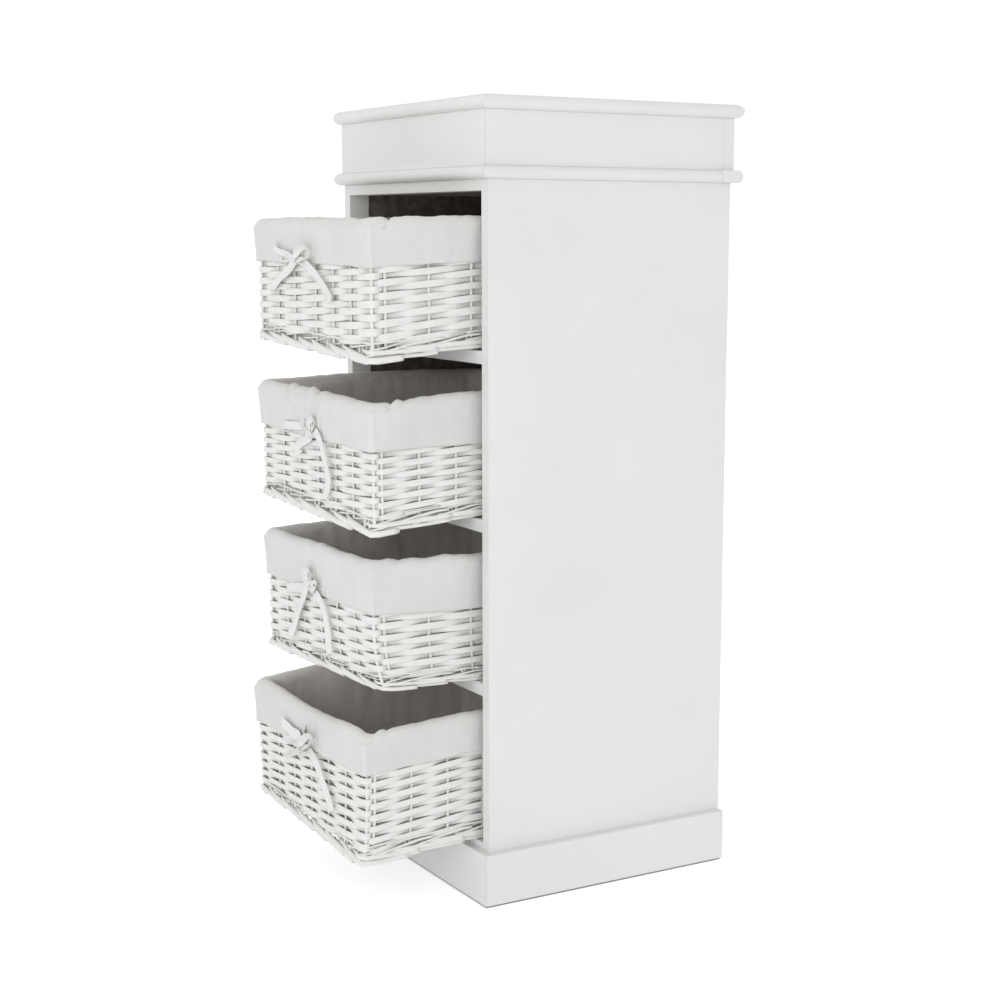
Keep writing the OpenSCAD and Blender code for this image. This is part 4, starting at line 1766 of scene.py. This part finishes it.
@dataclass(frozen=True)
class Cabinet:
    """The board cabinet: its CAD nodes keep their shape and get their finishes, and nails hold the back.

    Attributes:
        finishes: Its finishes.
        nails: Sizes of the back's nails.
        painted: Boards painted all over.
        shelves: The shelves, into which nails go too.
        boards: Other boards, which are raw inside the compartments.
    """

    finishes: CabinetFinishes
    nails: NailSizes = NailSizes()
    painted: tuple[str, ...] = (
        "top_board", "frieze_front", "frieze_back", "frieze_left", "frieze_right",
        "cornice_front", "cornice_back", "cornice_left", "cornice_right",
        "plinth_front", "plinth_left", "plinth_right",
    )
    shelves: tuple[str, ...] = ("shelf_1", "shelf_2", "shelf_3")
    boards: tuple[str, ...] = ("side_left", "side_right", "carcass_top", "bottom_board")

    def build(self) -> Piece:
        """Gives every node its finish and adds the nails.

        Returns:
            The nails.
        """
        own = self.finishes
        groups = (
            (self.painted, own.paint),
            (self.boards + self.shelves, own.inside),
            (("back_panel",), own.raw),
            (("glides",), own.plastic),
        )
        for names, material in groups:
            for name in names:
                dress(name, material)
                log.info("%s: %s", name, material.name)
        return self.build_nails()

    def build_nails(self) -> Piece:
        """Builds the heads of the nails that hold the back panel.

        Returns:
            The nails.
        """
        low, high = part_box("back_panel")
        sink, own = MeshSink(), self.nails
        heights = np.linspace(low.z + own.from_ends, high.z - own.from_ends, own.rows)
        places = [(x, z) for z in heights for x in (low.x + own.from_edge, high.x - own.from_edge)]
        places += [(x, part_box(name)[0].z + own.shelf_mid) for name in self.shelves for x in own.shelf_x]
        radius = np.array([r for _, r in own.profile])
        for x, z in places:
            path = np.array([(x, high.y + out, z) for out, _ in own.profile])
            sink.tube(path, radius, radius, own.sides)
        made = sink.build("back_panel_nails", self.finishes.steel, smooth=False)
        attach(made, "cabinet")
        return made


@dataclass(frozen=True)
class CameraRig:
    """The photograph's viewpoint, found from the cabinet's edges.

    Attributes:
        from_middle: Place of the camera from the carcass's middle, at floor level.
        yaw: Angle from the front's normal towards the right side, in degrees.
        pitch: Angle downwards, in degrees.
        roll: Roll, in degrees.
        lens: Focal length for the sensor.
        sensor: Width of the sensor in millimetres.
        shift: Shift of the image in widths.
    """

    from_middle: Place = (2.01236, -1.19142, 0.79686)
    yaw: float = 59.27254
    pitch: float = 9.52745
    roll: float = 0.11526
    lens: float = 65.564
    sensor: float = 36.0
    shift: Point = (-0.03302, 0.03816)

    def build(self) -> Piece:
        """Makes the camera and makes it the scene's.

        Returns:
            The camera.
        """
        low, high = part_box("side_left")
        a, e, c = (math.radians(v) for v in (self.yaw, self.pitch, self.roll))
        back = Vector((math.sin(a) * math.cos(e), -math.cos(a) * math.cos(e), math.sin(e)))
        right = (-back).cross(Vector((0, 0, 1))).normalized()
        up = right.cross(-back)
        right, up = right * math.cos(c) + up * math.sin(c), up * math.cos(c) - right * math.sin(c)
        data = bpy.data.cameras.new("camera")
        data.sensor_width, data.lens = self.sensor, self.lens
        data.shift_x, data.shift_y = self.shift
        made = link("camera", data)
        place = Vector(self.from_middle) + Vector((0, (low.y + high.y) / 2, 0))
        made.matrix_world = Matrix.Translation(place) @ Matrix((right, up, back)).transposed().to_4x4()
        bpy.context.scene.camera = made
        return made


@dataclass(frozen=True)
class Studio:
    """White surroundings, one large soft lamp and a white floor.

    Attributes:
        sky: Brightness of the surroundings.
        seen_sky: Their brightness to the camera.
        lamp_power: Power of the lamp in watts.
        lamp_place: Place of the lamp.
        lamp_aim: Place that the lamp faces.
        lamp_size: Side of the lamp.
        floor_size: Half size of the floor.
        floor_tones: The floor's two shades.
        contact_shadow_tone: Colour of the painted contact shadow on the floor close under the plinth.
        floor_lift: Light of its own that the floor gives the object.
        floor_white: Light of its own that the camera sees on the open floor.
    """

    sky: float = 0.84
    seen_sky: float = 1.02
    lamp_power: float = 50.0
    lamp_place: Place = (3.15, -3.9, 1.3)
    lamp_aim: Place = (0, 0, 0.45)
    lamp_size: float = 2.6
    floor_size: float = 12.0
    floor_tones: tuple[Colour, Colour] = ((0.93, 0.93, 0.93), (0.95, 0.95, 0.95))
    contact_shadow_tone: Colour = (0.25, 0.25, 0.24)
    floor_lift: float = 0.14
    floor_white: float = 0.44

    def build(self) -> None:
        """Builds the surroundings, the lamp and the floor."""
        self.build_world()
        data = bpy.data.lights.new("soft_lamp", "AREA")
        data.energy, data.size = self.lamp_power, self.lamp_size
        lamp = link("soft_lamp", data)
        lamp.location = self.lamp_place
        towards = Vector(self.lamp_aim) - Vector(self.lamp_place)
        lamp.rotation_euler = towards.to_track_quat("-Z", "Y").to_euler()
        self.build_floor()
        bpy.context.scene.view_settings.view_transform = "Standard"

    def build_world(self) -> None:
        """Makes surroundings that light the object evenly and look pure white to the camera."""
        world = bpy.data.worlds.new("surroundings")
        bpy.context.scene.world = world
        world.use_nodes = True
        tree = world.node_tree
        tree.nodes.clear()
        kinds = ("LightPath", "MixShader", "OutputWorld")
        path, mix, out = (tree.nodes.new(f"ShaderNode{kind}") for kind in kinds)
        for number, strength in ((1, self.sky), (2, self.seen_sky)):
            light = tree.nodes.new("ShaderNodeBackground")
            light.inputs["Color"].default_value = (1.0, 1.0, 1.0, 1.0)
            light.inputs["Strength"].default_value = strength
            tree.links.new(light.outputs[0], mix.inputs[number])
        tree.links.new(path.outputs["Is Camera Ray"], mix.inputs[0])
        tree.links.new(mix.outputs[0], out.inputs[0])

    def build_floor(self) -> Piece:
        """Builds the white floor, which keeps the object's soft shadow.

        Returns:
            The floor.
        """
        g = Graph("white_floor")
        # Painted contact shadow: within 3.5 mm of the plinth the floor's colour turns dark and its glow to
        # the camera fades.
        contact = g.crevice(0.0035, 0.35, 0.62)
        tone = g.mix(contact, self.contact_shadow_tone, g.mix(g.noise(g.where(), 3.0), *self.floor_tones))
        base = g.node("ShaderNodeBsdfDiffuse", {"Color": tone}).outputs[0]
        touch = g.maths("MULTIPLY", contact, self.floor_white)
        strengths = (touch, self.floor_lift)
        glow, lift = (g.node("ShaderNodeEmission", {"Strength": power}).outputs[0] for power in strengths)
        seen = g.node("ShaderNodeLightPath").outputs["Is Camera Ray"]
        extra = g.node("ShaderNodeMixShader", {0: seen, 1: lift, 2: glow}).outputs[0]
        material = g.finish(g.node("ShaderNodeAddShader", {0: base, 1: extra}).outputs[0])
        mesh = bpy.data.meshes.new("floor")
        size = self.floor_size
        corners = [(-size, -size, 0), (size, -size, 0), (size, size, 0), (-size, size, 0)]
        mesh.from_pydata(corners, [], [(0, 1, 2, 3)])
        mesh.materials.append(material)
        return link("floor", mesh)


LOOKS = (
    BasketLook(
        index=1, pitch=0.0072, front_stakes=(-0.1057, -0.0549, 0.0077, 0.0565, 0.1033),
        side_first=0.0225, side_stakes=6, fall=0.053, strands=8, flip=1, phase=-0.12,
        sag=Sag(
            foot=(-0.0135, 0.0008, 0.001, 0.0), edge=(-0.0028, 0.0002, 0.0029, 0.0),
            top=(-0.0013, 0.0004, 0.0029, 0.0023),
        ),
        knot_x=-0.0254, knot_up=0.0053, pleats=0.0007,
        tapes=(
            TiePath(
                ((-0.026, 0.006), (-0.048, 0.008), (-0.067, 0.014)),
                turn=-14, lift=0.003, wide=0.011, opens=0.98,
            ),
            TiePath(
                (
                    (0.009, 0.008), (0.022, 0.014), (0.045, 0.011), (0.048, 0.006),
                    (0.032, 0.001), (0.011, -0.003),
                ),
                turn=58, lift=0.006, wide=0.009,
            ),
            TiePath(((-0.013, 0.002), (-0.032, 0.0), (-0.014, -0.002)), turn=40, lift=0.004, wide=0.008),
            TiePath(
                ((-0.008, -0.003), (-0.027, -0.013), (-0.055, -0.024), (-0.083, -0.036)),
                turn=0, lift=0.0014, wide=0.011,
            ),
            TiePath(
                ((0.027, -0.004), (0.048, -0.013), (0.069, -0.027), (0.096, -0.044)),
                turn=-8, lift=0.0024,
            ),
        ),
        dips=((0.0145, 0.0038, 0.0035), (0.003, -0.001, 0.005), (-0.03, 0.0012, 0.012)),
    ),
    BasketLook(
        index=2, pitch=0.0062, front_stakes=(-0.0985, -0.0484, 0.0058, 0.0554, 0.104),
        side_first=0.0163, side_stakes=7, fall=0.054, strands=10,
        sag=Sag(
            foot=(-0.0135, -0.0012, 0.0015, 0.0), edge=(-0.0063, -0.0022, -0.0032, 0.0),
            top=(-0.0042, 0.0012, 0.0042, 0.0055),
        ),
        knot_x=0.0086, knot_up=0.0126, pleats=0.0016,
        tapes=(
            TiePath(((-0.017, 0.0), (-0.055, -0.003), (-0.097, -0.006)), turn=0, lift=-0.0012),
            TiePath(
                ((-0.007, -0.011), (-0.026, -0.019), (-0.044, -0.03), (-0.037, -0.035)),
                turn=-30, lift=0.003,
            ),
            TiePath(
                ((0.017, -0.004), (0.028, -0.014), (0.039, -0.034), (0.047, -0.055), (0.035, -0.079)),
                turn=-12, lift=0.0032, wide=0.009,
            ),
            TiePath(
                ((0.001, 0.008), (0.008, 0.014), (0.012, 0.004), (0.006, -0.004)),
                turn=40, lift=0.004, wide=0.007,
            ),
            TiePath(((-0.006, 0.006), (-0.013, 0.01), (-0.01, 0.0)), turn=40, lift=0.004, wide=0.007),
        ),
        dips=(
            (0.015, 0.003, 0.004), (0.033, 0.0018, 0.005),
            (0.024, -0.0008, 0.004), (0.075, 0.001, 0.012),
        ),
        folds=(
            (-0.082, 0.0035, -0.0055), (-0.074, 0.005, 0.004), (-0.04, 0.02, 0.0028),
            (-0.01, 0.007, 0.0048), (0.006, 0.005, -0.0034), (0.026, 0.012, 0.002),
        ),
    ),
    BasketLook(
        index=3, pitch=0.0073, front_stakes=(-0.101, -0.05, 0.003, 0.053, 0.102),
        side_first=0.0193, side_stakes=6, fall=0.06, strands=10, flip=1, phase=-0.2,
        sag=Sag(
            foot=(0.001, -0.0028, -0.001, 0.0), edge=(-0.003, -0.0046, -0.0084, 0.0),
            top=(0.0004, -0.0046, -0.0018, 0.0015),
            near_out=0.0025, left_out=-0.001, foot_out=-0.0145,
        ),
        knot_x=-0.0034, knot_up=0.0122, pleats=0.001,
        tapes=(
            TiePath(
                ((-0.019, -0.008), (-0.05, -0.013), (-0.088, -0.02)),
                turn=0, lift=-0.001, wide=0.012,
            ),
            TiePath(
                ((-0.011, -0.006), (-0.028, -0.026), (-0.051, -0.053), (-0.075, -0.082)),
                turn=-12, lift=0.0024,
            ),
            TiePath(
                ((0.018, -0.009), (0.036, -0.021), (0.045, -0.046), (0.047, -0.081)),
                turn=-16, lift=0.0032,
            ),
            TiePath(
                ((-0.011, 0.004), (-0.012, 0.012), (0.004, 0.015), (0.01, 0.004)),
                turn=40, lift=0.004, wide=0.008,
            ),
            TiePath(
                ((0.012, 0.003), (0.022, 0.005), (0.016, -0.006), (0.004, -0.004)),
                turn=40, lift=0.004, wide=0.007,
            ),
        ),
        dips=((0.025, 0.0022, 0.0055), (0.01, -0.0008, 0.004), (0.06, 0.001, 0.012)),
        folds=((-0.02, 0.008, 0.0008), (0.014, 0.007, 0.001)),
    ),
    BasketLook(
        index=4, pitch=0.0065, front_stakes=(-0.102, -0.051, 0.002, 0.053, 0.103),
        side_first=0.0163, side_stakes=7, fall=0.049, strands=8, phase=-0.45,
        sag=Sag(
            foot=(-0.009, 0.0022, -0.0005, 0.0), edge=(-0.0034, -0.0122, 0.0056, 0.0),
            top=(-0.0019, -0.0045, 0.0056, 0.012),
            near_out=0.0022, left_out=0.002, foot_out=0.006, left_in=0.008,
        ),
        knot_x=-0.0096, knot_up=0.0, pleats=0.0009,
        tapes=(
            TiePath(((0.002, 0.008), (-0.023, 0.012), (-0.054, 0.018)), turn=0, lift=0.003, wide=0.0135),
            TiePath(((0.014, 0.019), (0.017, 0.025)), turn=-20, lift=0.002, wide=0.008),
            TiePath(((-0.01, 0.003), (-0.035, 0.002), (-0.047, 0.002)), turn=45, lift=0.004, wide=0.007),
            TiePath(
                ((-0.004, -0.005), (-0.03, -0.018), (-0.053, -0.027)),
                turn=-60, lift=0.003, wide=0.007,
            ),
            TiePath(
                ((0.01, 0.006), (0.027, 0.017), (0.049, 0.021), (0.043, 0.013), (0.013, -0.002)),
                turn=52, lift=0.006, wide=0.009,
            ),
            TiePath(
                ((0.029, 0.0), (0.048, -0.008), (0.069, -0.031), (0.092, -0.06)),
                turn=-20, lift=0.0032,
            ),
        ),
        dips=(
            (0.002, 0.003, 0.004), (0.012, -0.0008, 0.004),
            (0.019, 0.0022, 0.0035), (-0.15, 0.0045, 0.08),
        ),
        folds=((-0.014, 0.008, 0.0008), (0.02, 0.008, 0.0008)),
    ),
)


def build_cabinet() -> None:
    """Makes the cabinet's finishes, dresses it and adds its nails."""
    inside = BoardPaint(
        "painted_board_raw_inside",
        half_inside=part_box("shelf_1")[1].x,
        strip_y=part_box("side_left")[0].y + PAINTED_STRIP,
        top=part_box("carcass_top")[1].z - 0.0005,
        raw_inside=True,
    )
    finishes = CabinetFinishes(
        paint=BoardPaint("painted_board").build(),
        inside=inside.build(),
        raw=Hardboard().build(),
        plastic=SmallHardware("glide_plastic", (0.55, 0.55, 0.53), 0.0, 0.45).build(),
        steel=SmallHardware("nail_steel", (0.42, 0.41, 0.40), 1.0, 0.38).build(),
    )
    nails = Cabinet(finishes).build()
    log.info("%s: %d faces", nails.name, len(nails.data.polygons))


def main() -> None:
    """Builds the scene in order."""
    logging.basicConfig(level=logging.INFO, format="%(message)s")
    CameraRig().build()
    build_cabinet()
    finishes = BasketFinishes(
        wicker=PaintedWicker().build(),
        cloth=Cotton("lining_cotton").build(),
        tape=Cotton("tie_cotton", colour=(0.83, 0.83, 0.82), threads=900.0, through=0.05).build(),
    )
    for look in LOOKS:
        for piece in WickerBasket(look, finishes).build():
            log.info("%s: %d faces", piece.name, len(piece.data.polygons))
    Studio().build()


if __name__ == "__main__":
    main()
